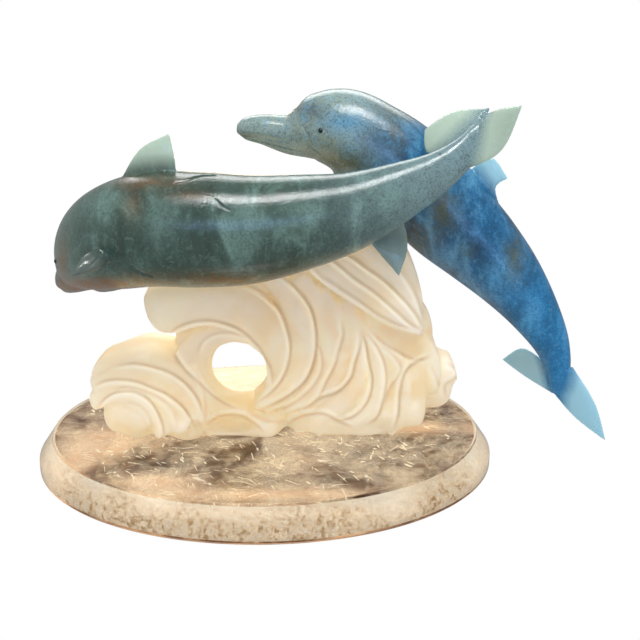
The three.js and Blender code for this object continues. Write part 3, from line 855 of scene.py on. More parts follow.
@dataclass
class Dolphin:
    """One leaping dolphin: a carved body with its fins, and two eyes of darker stone.

    Attributes:
        name: the node's name.
        pose: how it is bent.
        length: from the beak to the notch of the tail.
        seat: the place that its pose is measured from.
        finish: its stone.
        slot: the record's slot of the stone.
        creases: the lines cut in it.
        stains_and_edge_glow: where iron has coloured it, and where a brown glow along its edges is painted.
        darks_and_shade: where it is darker: partly darker stone, partly painted shade.
        pales_and_highlights: where it is paler: partly paler cloud in the stone, partly painted highlights.
        voxel: how fine its skin is.
    """

    name: str
    pose: Pose
    length: float
    seat: np.ndarray
    finish: PolishedBeryl
    slot: str
    creases: Sequence[Crease] = ()
    stains_and_edge_glow: Sequence[Patch] = ()
    darks_and_shade: Sequence[Patch] = ()
    pales_and_highlights: Sequence[Patch] = ()
    voxel: float = 0.68 * MM

    def __post_init__(self) -> None:
        """Lays out the spine."""
        self.spine = Curve([self.place(point) for point in self.pose.spine])
        ends = np.linspace(0, 1, len(self.pose.backs))
        self.backs = [(share, *back) for share, back in zip(ends, self.pose.backs)]

    def place(self, point: Sequence[float]) -> np.ndarray:
        """A place from shares of the length, from the seat."""
        return np.array(point) * self.length + self.seat

    def bearings(self, share: np.ndarray) -> tuple[np.ndarray, np.ndarray, np.ndarray]:
        """The spine's points at shares of its length, with the way to its back and to its left."""
        point, way = self.spine.read(share, by_length=True)
        back = np.stack(read_table(self.backs, share), -1)
        back = unit(back - np.sum(back * way, -1, keepdims=True) * way)
        return point, back, np.cross(way, back)

    def section(self, table: Sequence, share: np.ndarray, turn: np.ndarray, swell: float) -> np.ndarray:
        """Points on a body section; turn 0 is the left side, a quarter turn the back."""
        up, down, half = read_table(table, share)
        point, back, left = self.bearings(share)
        size = self.pose.girth * self.length
        middle = np.minimum(up, 0)
        tall = np.where(np.sin(turn) >= 0, up - middle, down + middle)
        return (
            point + (middle * size + np.sin(turn) * (tall * size + swell))[:, None] * back
            + (np.cos(turn) * (half * size + swell))[:, None] * left
        )

    def loft(self, mesh: bmesh.types.BMesh, table: Sequence, sides: int, rings: int, swell: float) -> None:
        """Adds a part of the body that follows the spine."""
        first, last = table[0][0], table[-1][0]

        def place(polar: np.ndarray, turn: np.ndarray) -> np.ndarray:
            """Rows crowd towards both ends, which close on the spine."""
            share = first + (last - first) * (1 - np.cos(polar * math.pi)) / 2
            points = self.section(table, share, turn, swell)
            for pole in (0.0, 1.0):
                at_pole = np.isclose(polar, pole, atol=1e-4)
                points[at_pole] = self.spine.read(share[at_pole], by_length=True)[0]
            return points

        add_skin(mesh, sides, rings, place)

    def fin(self, mesh: bmesh.types.BMesh, name: str, sides: int, rings: int, swell: float) -> None:
        """Adds a fin: a lens-shaped blade between its front and its rear edge, closing at the tip."""
        root, front, tip, rear, heel = (self.place(corner) for corner in self.pose.fins[name])
        lead, trail = Curve([root, front, tip]), Curve([heel, rear, tip])
        thickness = FIN_HALF_THICKNESS[name] * self.length

        def place(polar: np.ndarray, turn: np.ndarray) -> np.ndarray:
            """Rows run from the root, which closes flat in the body, to the tip."""
            row = polar * rings
            share = np.clip((row - 1) / (rings - 1), 0, 1)
            ahead, ahead_way = lead.read(share, by_length=False)
            behind, behind_way = trail.read(share, by_length=False)
            chord = (ahead - behind) / 2
            thick = unit(np.cross(chord, ahead_way + behind_way))
            half = thickness * (1 - share) ** FIN_TAPER + swell
            wide = 1 + swell / np.maximum(np.linalg.norm(chord, axis=1), MM)
            closed = np.where((row < 0.5) | (row > rings - 0.5), 0.0, 1.0)
            return (ahead + behind) / 2 + closed[:, None] * (
                chord * (np.cos(turn) * wide)[:, None] + thick * (np.sin(turn) * half)[:, None]
            )

        add_skin(mesh, sides, rings, place)

    def parts(self, fineness: float = 1.0, swell: float = 0.0) -> bmesh.types.BMesh:
        """All parts of the body as overlapping closed skins.

        Args:
            fineness: how fine they are, 1 for the finished piece.
            swell: how much larger they are all round, in metres.

        Returns:
            The mesh.
        """
        mesh = bmesh.new()
        sides, rings = int(64 * fineness), int(180 * fineness)
        self.loft(mesh, TRUNK, sides, rings, swell)
        for table in (UPPER_JAW, LOWER_JAW, BROW_FOLD):
            self.loft(mesh, table, sides // 2, rings // 3, swell)
        for name in self.pose.fins:
            self.fin(mesh, name, sides // 2, rings // 3, swell)
        return mesh

    def measure(self, points: np.ndarray) -> tuple[np.ndarray, np.ndarray, np.ndarray]:
        """Where points lie against the spine.

        Args:
            points: the points.

        Returns:
            The share along the spine, the height towards the back and the distance to the left, in metres.
        """
        samples = np.linspace(0, 1, 160)
        spine = self.spine.read(samples, by_length=True)[0]
        nearest = np.concatenate([
            np.argmin(((chunk[:, None] - spine[None]) ** 2).sum(-1), axis=1)
            for chunk in np.array_split(points, 1 + len(points) // 8000)
        ])
        share = samples[nearest]
        middle, back, left = self.bearings(share)
        return share, np.sum((points - middle) * back, -1), np.sum((points - middle) * left, -1)

    def reach(self, share: np.ndarray, up: np.ndarray, aside: np.ndarray) -> np.ndarray:
        """How far measured points stand past the skin of the body, in metres."""
        over, under, half = read_table(TRUNK, np.clip(share, TRUNK[1][0], 1))
        size = self.pose.girth * self.length
        tall = np.where(up >= 0, over, under) * size
        return np.hypot(up, aside) * (1 - 1 / np.maximum(np.hypot(up / tall, aside / (half * size)), 1e-6))

    def near_fin(self, points: np.ndarray, fins: Sequence[str]) -> np.ndarray:
        """The distance from points to the middle of the nearest of some fins."""
        best = np.full(len(points), np.inf)
        for name in fins:
            root, front, tip, rear, heel = (self.place(corner) for corner in self.pose.fins[name])
            lead, trail = Curve([root, front, tip], steps=6).path, Curve([heel, rear, tip], steps=6).path
            for share in np.linspace(0, 1, 5):
                best = np.minimum(best, distance_to_path(points, lead * share + trail * (1 - share)))
        return best

    def carve(self, piece: bpy.types.Object) -> None:
        """Cuts the creases on the side that the photograph shows, and the same ones on the other side."""
        points, normals = points_of(piece)
        pixels = VIEW.project(points)
        depth = (points - VIEW.eye()) @ VIEW.axes()[2]
        for crease in self.creases:
            near = [np.argmin(np.hypot(*(pixels - pixel).T) + (depth - depth.min()) / MM * 0.2) for pixel in crease.path]
            share, up, aside = self.measure(points[near])
            middle, back, left = self.bearings(share)
            for sign in (1, -1):
                line = middle + up[:, None] * back + sign * aside[:, None] * left
                away = distance_to_path(points, Curve(line, steps=8).path) / crease.width
                points -= normals * (crease.depth * np.clip(1 - away ** 2, 0, 1) ** 2)[:, None]
        set_points(piece, points)

    def make_eye(self, side: Side, material: bpy.types.Material) -> None:
        """Sets a domed eye where the frame has it."""
        node = f"{self.name}_{side.name.lower()}_eye"
        low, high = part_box(node)
        mesh = bmesh.new()
        bmesh.ops.create_icosphere(mesh, subdivisions=4, radius=(high.x - low.x) / 2)
        bmesh.ops.translate(mesh, verts=mesh.verts, vec=(low + high) / 2)
        finish_piece(to_object(f"{node}_stone", mesh), material, "eye_stone", node)

    def make(self, eye: bpy.types.Material) -> None:
        """Carves the dolphin and sets its eyes."""
        piece = to_object(f"{self.name}_carved", self.parts())
        fuse(piece, self.voxel, 4)
        self.carve(piece)
        points = points_of(piece)[0]
        pixels = VIEW.project(points)
        place = self.measure(points)
        paint(piece, "along", place[0])
        # Paints the stain patches, which also carry a painted brown edge glow; the darker patches, which also carry
        # painted shade; and the pale patches, which also carry painted highlights.
        for name, patches in (("stain_and_edge_glow", self.stains_and_edge_glow), ("dark_stone_and_shade", self.darks_and_shade), ("pale", self.pales_and_highlights)):
            paint(piece, name, tint(pixels, patches))
        flippers = [name for name in self.pose.fins if "flipper" in name]
        blades = [name for name in self.pose.fins if "flipper" not in name]
        out = np.clip(self.reach(*place) / (0.03 * self.length), 0, 1)
        is_flipper = self.near_fin(points, flippers) < self.near_fin(points, blades)
        paint(piece, "fin", np.where(is_flipper, 0, out))
        paint(piece, "flipper", np.where(is_flipper, out, 0))
        finish_piece(piece, self.finish.make(), self.slot, self.name)
        for side in Side:
            self.make_eye(side, eye)


@dataclass
class Fold:
    """One fold of the wave, in shares of the wave.

    Attributes:
        path: its middle line seen from the front: place along the length, height and half thickness.
        depth: where its middle lies front to back.
        half: how far it reaches each way.
        lean: how much its outer side comes forwards, so that folds overlap like shingles.
    """

    path: Sequence[tuple[float, float, float]]
    depth: float
    half: float
    lean: float = 0.0


FOLDS = {
    "core_left": Fold(((-0.151, 0.405, 0.117), (-0.083, 0.405, 0.143), (-0.024, 0.394, 0.125)), 0.038, 0.346),
    "core_right": Fold(((0.079, 0.438, 0.156), (0.199, 0.453, 0.177), (0.287, 0.438, 0.156)), 0.026, 0.372),
    "core_low": Fold(((0.051, 0.176, 0.073), (0.186, 0.192, 0.089), (0.309, 0.176, 0.083)), 0.013, 0.346),
    "core_crest": Fold(((0.199, 0.801, 0.078), (0.279, 0.781, 0.094), (0.342, 0.69, 0.057)), 0.09, 0.282),
    "saddle": Fold(((-0.05, 0.77, 0.055), (0.08, 0.86, 0.06), (0.2, 0.9, 0.06)), 0, 0.3),
    "foot": Fold(
        ((-0.4, 0.061, 0.036), (-0.086, 0.05, 0.042), (0.159, 0.05, 0.042), (0.39, 0.1, 0.036)), -0.02, 0.33,
    ),
    "apron": Fold(
        ((0.034, 0.03, 0.008), (0.127, 0.03, 0.024), (0.22, 0.02, 0.02), (0.302, 0.01, 0.008)), -0.2, 0.17,
    ),
    "scroll": Fold(
        ((-0.271, 0.633, 0.07), (-0.168, 0.668, 0.063), (-0.072, 0.638, 0.063), (-0.005, 0.523, 0.06),
         (0.028, 0.381, 0.049), (0.012, 0.237, 0.031), (-0.035, 0.164, 0.013)), -0.064, 0.359,
    ),
    "funnel": Fold(
        ((-0.172, 0.147, 0.023), (-0.213, 0.263, 0.034), (-0.213, 0.403, 0.039), (-0.15, 0.495, 0.029),
         (-0.067, 0.5, 0.021)), -0.026, 0.333,
    ),
    "lip": Fold(((-0.21, 0.335, 0.023), (-0.159, 0.179, 0.023), (-0.068, 0.116, 0.018)), -0.09, 0.295),
    "curl": Fold(
        ((-0.422, 0.251, 0.07), (-0.349, 0.275, 0.078), (-0.27, 0.235, 0.08), (-0.213, 0.152, 0.065)),
        -0.1, 0.28,
    ),
    "curl_outer": Fold(
        ((-0.411, 0.335, 0.021), (-0.333, 0.36, 0.031), (-0.262, 0.305, 0.037),
         (-0.211, 0.218, 0.034), (-0.181, 0.103, 0.023)), -0.12, 0.3, -0.3,
    ),
    "curl_middle": Fold(
        ((-0.458, 0.275, 0.026), (-0.398, 0.306, 0.031), (-0.33, 0.28, 0.031), (-0.268, 0.198, 0.031),
         (-0.233, 0.083, 0.029)), -0.128, 0.333, -0.3,
    ),
    "curl_inner": Fold(
        ((-0.463, 0.202, 0.021), (-0.414, 0.243, 0.023), (-0.356, 0.228, 0.026), (-0.31, 0.15, 0.026),
         (-0.283, 0.051, 0.023)), -0.179, 0.308, -0.3,
    ),
    "curl_ball": Fold(((-0.399, 0.132, 0.052), (-0.347, 0.101, 0.052)), -0.244, 0.256),
    "arc_1": Fold(
        ((-0.003, 0.814, 0.031), (0.053, 0.666, 0.034), (0.082, 0.5, 0.036), (0.073, 0.347, 0.031),
         (0.041, 0.227, 0.023), (-0.014, 0.138, 0.01)), -0.038, 0.346, 0.35,
    ),
    "arc_2": Fold(
        ((0.075, 0.781, 0.029), (0.127, 0.647, 0.031), (0.143, 0.495, 0.031), (0.129, 0.342, 0.026),
         (0.089, 0.211, 0.021), (0.032, 0.122, 0.01)), -0.019, 0.346, 0.35,
    ),
    "arc_3": Fold(
        ((0.137, 0.71, 0.023), (0.169, 0.57, 0.029), (0.178, 0.417, 0.029), (0.154, 0.262, 0.026),
         (0.086, 0.125, 0.013)), -0.013, 0.346, 0.35,
    ),
    "leaf_1": Fold(
        ((0.198, 0.66, 0.021), (0.223, 0.494, 0.029), (0.221, 0.324, 0.036), (0.194, 0.183, 0.031),
         (0.132, 0.088, 0.016)), -0.013, 0.346, 0.35,
    ),
    "leaf_2": Fold(
        ((0.249, 0.546, 0.016), (0.282, 0.367, 0.026), (0.278, 0.185, 0.029), (0.219, 0.058, 0.018)),
        -0.019, 0.346, 0.35,
    ),
    "leaf_3": Fold(
        ((0.297, 0.468, 0.018), (0.342, 0.313, 0.029), (0.341, 0.13, 0.031), (0.313, 0.028, 0.026)),
        -0.019, 0.333, 0.35,
    ),
    "crest_leaf": Fold(
        ((0.111, 0.915, 0.036), (0.2, 0.851, 0.063), (0.29, 0.738, 0.057), (0.365, 0.598, 0.026),
         (0.401, 0.512, 0.008)), -0.013, 0.333,
    ),
    "crest_1": Fold(
        ((0.094, 0.905, 0.023), (0.184, 0.774, 0.026), (0.302, 0.631, 0.021), (0.392, 0.536, 0.007)),
        -0.103, 0.321, -0.35,
    ),
    "crest_2": Fold(
        ((0.16, 0.939, 0.029), (0.241, 0.808, 0.029), (0.331, 0.67, 0.021), (0.396, 0.54, 0.008)),
        -0.077, 0.321, -0.35,
    ),
    "crest_3": Fold(
        ((0.236, 0.954, 0.031), (0.309, 0.842, 0.031), (0.363, 0.704, 0.021), (0.399, 0.549, 0.008)),
        -0.051, 0.321, -0.35,
    ),
    "crest_rim": Fold(
        ((0.31, 0.945, 0.026), (0.354, 0.817, 0.026), (0.382, 0.668, 0.023), (0.4, 0.531, 0.008)),
        0.013, 0.295,
    ),
    "roll_1": Fold(
        ((0.361, 0.501, 0.023), (0.402, 0.424, 0.034), (0.426, 0.32, 0.034), (0.419, 0.214, 0.034)),
        0.038, 0.308,
    ),
    "roll_2": Fold(
        ((0.306, 0.509, 0.031), (0.353, 0.406, 0.044), (0.376, 0.261, 0.047), (0.378, 0.118, 0.044)),
        0.013, 0.321,
    ),
    "ball": Fold(((0.441, 0.203, 0.068), (0.437, 0.144, 0.065)), 0.141, 0.256),
    "ball_bump": Fold(((0.477, 0.256, 0.031), (0.486, 0.213, 0.029)), 0.09, 0.179),
}


@dataclass(frozen=True)
class Contour:
    """A carved edge, where the shell on the left of its path stands over the one on the right.

    Attributes:
        path: the edge in the photograph's pixels.
        step: how high the edge stands, in metres.
    """

    path: Sequence[tuple[float, float]]
    step: float = 0.8 * MM


CONTOURS = (
    # The scroll's lip, the tunnel's rim, and the bands that wind round the barrel.
    Contour(((272, 392), (270, 372), (265, 361), (259, 350), (250, 340), (239, 331), (224, 325), (209, 322),
             (195, 323), (178, 329), (169, 337)), 1.3 * MM),
    Contour(((252, 343), (239, 336), (224, 334), (211, 337), (202, 345), (199, 356)), 0.5 * MM),
    Contour(((250, 405), (268, 393), (280, 380), (287, 364), (289, 345), (285, 327), (279, 312), (269, 301),
             (257, 292), (240, 284)), 0.9 * MM),
    Contour(((258, 409), (272, 403), (291, 392), (304, 380), (312, 364), (315, 345), (314, 326), (309, 308),
             (300, 295), (288, 283), (274, 274)), 0.9 * MM),
    Contour(((266, 412), (287, 405), (301, 396), (314, 383), (321, 367), (320, 354), (314, 340)), 0.6 * MM),
    # The blades of the wave's back.
    Contour(((290, 411), (313, 402), (326, 380), (334, 364), (338, 349), (342, 334), (340, 320)), 0.7 * MM),
    Contour(((304, 408), (319, 397), (338, 390), (350, 377), (354, 362), (359, 345), (358, 330)), 0.9 * MM),
    Contour(((330, 418), (345, 418), (358, 411), (367, 399), (371, 381), (367, 361), (364, 343), (359, 330)), 0.9 * MM),
    Contour(((366, 424), (376, 416), (382, 399), (385, 381), (383, 364), (376, 348), (364, 333)), 0.9 * MM),
    Contour(((381, 411), (386, 393), (391, 383), (400, 370), (391, 355), (375, 344)), 0.6 * MM),
    # The fluted crest.
    Contour(((421, 332), (397, 326), (379, 317), (358, 302), (338, 289), (319, 276), (304, 259)), 1.4 * MM),
    Contour(((422, 331), (411, 326), (391, 308), (373, 293), (353, 279), (332, 262), (318, 252)), 0.9 * MM),
    Contour(((423, 330), (416, 317), (404, 302), (386, 284), (367, 270), (350, 258), (332, 251)), 0.9 * MM),
    Contour(((424, 322), (413, 292), (396, 268), (376, 250)), 0.5 * MM),
    # The folds over the lump at the right.
    Contour(((435, 355), (417, 361), (408, 359), (397, 353), (382, 344), (368, 330)), 0.7 * MM),
    Contour(((391, 432), (397, 414), (398, 396), (402, 376), (408, 366), (420, 359), (433, 355)), 1.0 * MM),
    Contour(((445, 401), (443, 390), (444, 384), (449, 380), (455, 376), (452, 368), (445, 363)), 0.7 * MM),
    Contour(((438, 388), (435, 378), (430, 366)), 0.5 * MM),
    # The curl at the left: its edge against the barrel, and the shells round the ball.
    Contour(((170, 337), (173, 349), (179, 359), (187, 370), (198, 380), (208, 389), (218, 397), (228, 403),
             (238, 407)), 1.1 * MM),
    Contour(((203, 424), (204, 409), (203, 396), (200, 384), (194, 374)), 0.5 * MM),
    Contour(((203, 420), (199, 405), (193, 394), (183, 383), (170, 374), (152, 368), (134, 365), (112, 367)), 1.1 * MM),
    Contour(((196, 432), (187, 415), (180, 406), (167, 396), (152, 389), (136, 383), (121, 381), (107, 382),
             (93, 388)), 1.0 * MM),
    Contour(((176, 428), (172, 412), (160, 400), (146, 393), (128, 389), (110, 391)), 0.5 * MM),
    Contour(((159, 441), (162, 432), (161, 424), (156, 412), (149, 402), (139, 395), (127, 393), (114, 395),
             (104, 402), (98, 411)), 1.0 * MM),
    Contour(((151, 430), (148, 418), (140, 408), (126, 403)), 0.4 * MM),
    # The fringe over the arch, the little shell beside it, and the aprons.
    Contour(((186, 430), (188, 424), (192, 420), (199, 420), (203, 427)), 0.5 * MM),
    Contour(((205, 424), (216, 416), (231, 413), (246, 416), (258, 424), (266, 432)), 0.7 * MM),
    Contour(((286, 424), (268, 423), (250, 415)), 0.5 * MM),
    Contour(((284, 424), (300, 415), (323, 412), (338, 419), (354, 427)), 0.8 * MM),
)
# How far the foot's front steps back from its plain line, or forwards.
FOOT_LINE = (
    Patch(286, 432, 8, 13, 13 * MM), Patch(303, 434, 12, 11, 6 * MM), Patch(338, 436, 26, 9, 3 * MM),
    Patch(386, 434, 16, 11, 4 * MM), Patch(188, 437, 14, 12, -7 * MM), Patch(204, 440, 3, 8, 5 * MM),
    Patch(264, 434, 14, 9, -2 * MM),
)


@dataclass
class Wave:
    """The curling wave: nested folds of frosted crystal with an open barrel.

    Attributes:
        ground: where it stands.
        ridge: how deep a fold's ridge is rounded, against its half thickness.
        foot_spread: how deep the folds reach at the foot, against their stated half.
        crest_taper: how much less they reach at the crest.
        voxel: how fine its skin is.
        seat_gap: the room that each rider's seat leaves.
        barrel_width: the width that the barrel's rows are shares of.
        barrel: rows of place front to back, place along the length, height and radius.
        arch_place: the middle of the arch at its foot.
        arch_size: the arch's width, depth and height.
        edge_reach: how far a carved edge swells the shell behind it, in the photograph's pixels.
        under_reach: how far it hollows the shell that it stands over.
        under_depth: how deep that hollow is, against the edge's height.
        back_relief: how high the same carving stands on the wave's back.
        edge_softness: how far an edge is rounded to each side, in pixels.
        edge_width: how wide the painted highlight on an edge's rim and the painted shade in its groove are, in pixels.
        full_edge: the height from which they are at their strongest.
        step_share: how much of an edge's step is carved as a step; the rest is the folds' own.
        rim_highlight_tone: how strong the painted highlight on a rim is.
        groove_shade_tone: how strong the painted shade in a groove is.
    """

    ground: WaveGround
    ridge: float = 0.8
    foot_spread: float = 1.1
    crest_taper: float = 0.24
    voxel: float = 0.9 * MM
    seat_gap: float = 0.3 * MM
    barrel_width: float = 31 * MM
    barrel: Sequence = (
        (-0.7, -0.088, 0.35, 0.52), (-0.37, -0.088, 0.34, 0.5), (-0.05, -0.088, 0.29, 0.49),
        (0.38, -0.088, 0.165, 0.66), (0.8, -0.088, 0.08, 0.75),
    )
    arch_place: tuple = (-0.111, -0.37, 0.052)
    arch_size: tuple = (25 * MM, 18 * MM, 8.5 * MM)
    edge_reach: float = 8.0
    under_reach: float = 5.0
    under_depth: float = 0.85
    back_relief: float = 0.7
    edge_softness: float = 1.5
    edge_width: float = 1.7
    full_edge: float = 0.9 * MM
    step_share: float = 0.8
    rim_highlight_tone: float = 0.6
    groove_shade_tone: float = 0.45

    def add_fold(self, mesh: bmesh.types.BMesh, fold: Fold) -> None:
        """Adds one fold: a slab along its path with rounded ends and rounded ridges front and back."""
        line = Curve([self.ground.at(x, fold.depth, z) for x, z, _ in fold.path])
        count = len(fold.path) - 1
        girth = [(i / count, row[2]) for i, row in enumerate(fold.path)]
        length = line.run[-1]
        head, tail = (girth[i][1] * self.ground.length / length for i in (0, -1))

        def place(polar: np.ndarray, turn: np.ndarray) -> np.ndarray:
            """Rows crowd towards both ends, which close in a round."""
            run = (1 - np.cos(polar * math.pi)) / 2 * (1 + head + tail) - head
            share = np.clip(run, 0, 1)
            past = np.where(run < 0, -run / head, (run - share) / tail)
            closing = np.sqrt(np.clip(1 - past ** 2, 0, 1))
            middle, way = line.read(share, by_length=False)
            across = unit(np.cross([0, 1, 0], way))
            radius = read_table(girth, share)[0] * self.ground.length
            height = (middle[:, 2] - self.ground.middle[2]) / self.ground.height
            reach = fold.half * self.ground.width * (self.foot_spread - self.crest_taper * height)
            ridge = np.minimum(self.ridge * radius, reach)
            wide, deep = np.cos(turn), np.where(np.abs(np.sin(turn)) < 1e-6, 0, np.sin(turn))
            out = deep * ridge + np.sign(deep) * (reach - ridge) * np.minimum(np.abs(deep) * 3, 1)
            out += fold.lean * wide * radius
            points = middle + (run - share)[:, None] * length * way
            points += (wide * radius * closing)[:, None] * across
            points[:, 1] += out * closing
            return points

        add_skin(mesh, 48, 64, place)

    def make_barrel(self) -> bpy.types.Object:
        """The open barrel as a cutting tool: a tunnel that drops and widens towards the back."""
        mesh = bmesh.new()
        rows = [(self.ground.at(x, y, z), r * self.barrel_width) for y, x, z, r in self.barrel]
        depth = [row[0][1] for row in rows]

        def place(polar: np.ndarray, turn: np.ndarray) -> np.ndarray:
            """Rows run from the front to the back."""
            y = depth[0] + (depth[-1] - depth[0]) * np.clip(polar * 1.02 - 0.01, 0, 1)
            x, z, r = (np.interp(y, depth, column) for column in zip(*[(p[0], p[2], r) for p, r in rows]))
            r = np.where((polar < 0.001) | (polar > 0.999), 0, r)
            return np.stack([x + r * np.cos(turn), y, z + r * np.sin(turn)], -1)

        add_skin(mesh, 96, 96, place)
        return to_object("barrel_tool", mesh)

    def make_arch(self) -> bpy.types.Object:
        """The shallow arch under the front of the barrel, as a cutting tool."""
        mesh = bmesh.new()
        bmesh.ops.create_uvsphere(mesh, u_segments=64, v_segments=32, radius=0.5)
        bmesh.ops.scale(mesh, verts=mesh.verts, vec=self.arch_size)
        bmesh.ops.translate(mesh, verts=mesh.verts, vec=self.ground.at(*self.arch_place))
        return to_object("arch_tool", mesh)

    def make_floor(self) -> bpy.types.Object:
        """Everything under the wave's flat foot, as a cutting tool."""
        mesh = bmesh.new()
        bmesh.ops.create_cube(mesh, size=2 * self.ground.length)
        drop = Vector((0, 0, self.ground.middle[2] - self.ground.length))
        bmesh.ops.translate(mesh, verts=mesh.verts, vec=drop)
        return to_object("floor_tool", mesh)

    def relief(self, pixels: np.ndarray) -> tuple[np.ndarray, np.ndarray, np.ndarray]:
        """How the carved edges shape the skin.

        Args:
            pixels: places on the skin, in the photograph.

        Returns:
            The height there in metres, and how strongly each place takes the painted highlight of a rim and the painted
            shade of a groove, 0 to 1.
        """
        height, rim, groove = np.zeros((3, len(pixels)))
        for contour in CONTOURS:
            path = Curve(contour.path, steps=5).path
            nearest = np.full(len(pixels), np.inf)
            aside = np.zeros(len(pixels))
            run = np.zeros(len(pixels))
            for index, (start, end) in enumerate(zip(path, path[1:])):
                step = end - start
                away = pixels - start
                share = np.clip(away @ step / (step @ step), 0, 1)
                gap = away - share[:, None] * step
                far = np.hypot(gap[:, 0], gap[:, 1])
                closer = far < nearest
                nearest = np.where(closer, far, nearest)
                turned = away[:, 0] * step[1] - away[:, 1] * step[0]
                aside = np.where(closer, np.sign(turned), aside)
                run = np.where(closer, (index + share) / (len(path) - 1), run)
            fade = np.clip(np.minimum(run, 1 - run) / 0.14, 0, 1) ** 0.8
            signed = nearest * aside
            rise = np.clip(signed / (2 * self.edge_softness) + 0.5, 0, 1)
            rise = rise * rise * (3 - 2 * rise)
            over = np.exp(-np.maximum(signed, 0) / self.edge_reach)
            under = self.under_depth * np.exp(-np.maximum(-signed, 0) / self.under_reach)
            height += self.step_share * contour.step * fade * (rise * over - (1 - rise) * under)
            clear = fade * min(contour.step / self.full_edge, 1)
            # Painted highlight along the raised side of each edge, painted shade along its lower side.
            rim = np.maximum(rim, clear * np.exp(-(signed / self.edge_width - 1) ** 2))
            groove = np.maximum(groove, clear * np.exp(-(signed / self.edge_width + 1) ** 2))
        return height, rim, groove

    def engrave(self, piece: bpy.types.Object) -> None:
        """Carves the edges into the front, and more faintly into the back, and shapes the foot."""
        points, normals = points_of(piece)
        pixels = VIEW.project(points)
        front, back = (np.clip((sign * normals[:, 1] - 0.15) / 0.35, 0, 1) for sign in (-1, 1))
        points += normals * (self.relief(pixels)[0] * (front + self.back_relief * back))[:, None]
        points[:, 1] += front * blobs(pixels, FOOT_LINE)
        set_points(piece, points)

    def paint_edge_highlight_and_shade(self, piece: bpy.types.Object) -> None:
        """Paints highlights on the rims, which catch the light, and shade in the grooves under them."""
        points, normals = points_of(piece)
        rim, groove = self.relief(VIEW.project(points))[1:]
        shown = np.clip(np.abs(normals[:, 1]) / 0.3, 0, 1)
        paint(piece, "rim", rim * shown * self.rim_highlight_tone)
        paint(piece, "groove", groove * shown * self.groove_shade_tone)

    def make(self, riders: Sequence[Dolphin]) -> None:
        """Carves the wave and cuts the riders' seats."""
        mesh = bmesh.new()
        for fold in FOLDS.values():
            self.add_fold(mesh, fold)
        piece = to_object("wave_carved", mesh)
        fuse(piece, self.voxel, 0)
        for tool in (self.make_barrel(), self.make_arch()):
            cut(piece, tool)
        fuse(piece, self.voxel, 8)
        self.engrave(piece)
        cut(piece, self.make_floor())
        for rider in riders:
            seat = to_object("seat_tool", rider.parts(fineness=0.4, swell=self.seat_gap))
            fuse(seat, 1.2 * MM, 0)
            cut(piece, seat)
        self.paint_edge_highlight_and_shade(piece)
        finish_piece(piece, FrostedCrystal().make(), "frosted_crystal", "wave")


# Where the smoke in the base thins to cream, at the place where it shows through the flat top.
BED_TINTS = (
    Patch(100, 444, 44, 17, 1.0), Patch(72, 464, 20, 12, 0.8), Patch(150, 482, 44, 9, 0.9),
    Patch(300, 466, 26, 16, 0.4), Patch(235, 370, 130, 50, 1.0), Patch(415, 428, 50, 8, 0.9),
    Patch(260, 496, 150, 8, 0.8), Patch(135, 452, 8, 8, -0.6),
)


# Where the clouds behind the bevel and the side are painted paler and glow more: partly paler cloud, partly painted
# highlights along the bevel's lower edge and at the ends.
RIM_CLOUD_AND_HIGHLIGHT_TINTS = (
    Patch(390, 503, 26, 14, 1.0), Patch(232, 515, 40, 9, 0.8), Patch(150, 503, 26, 9, 0.7), Patch(300, 517, 40, 6, 0.6),
    Patch(50, 470, 20, 36, 0.5), Patch(482, 466, 22, 36, 0.5), Patch(100, 480, 20, 8, 0.5),
)


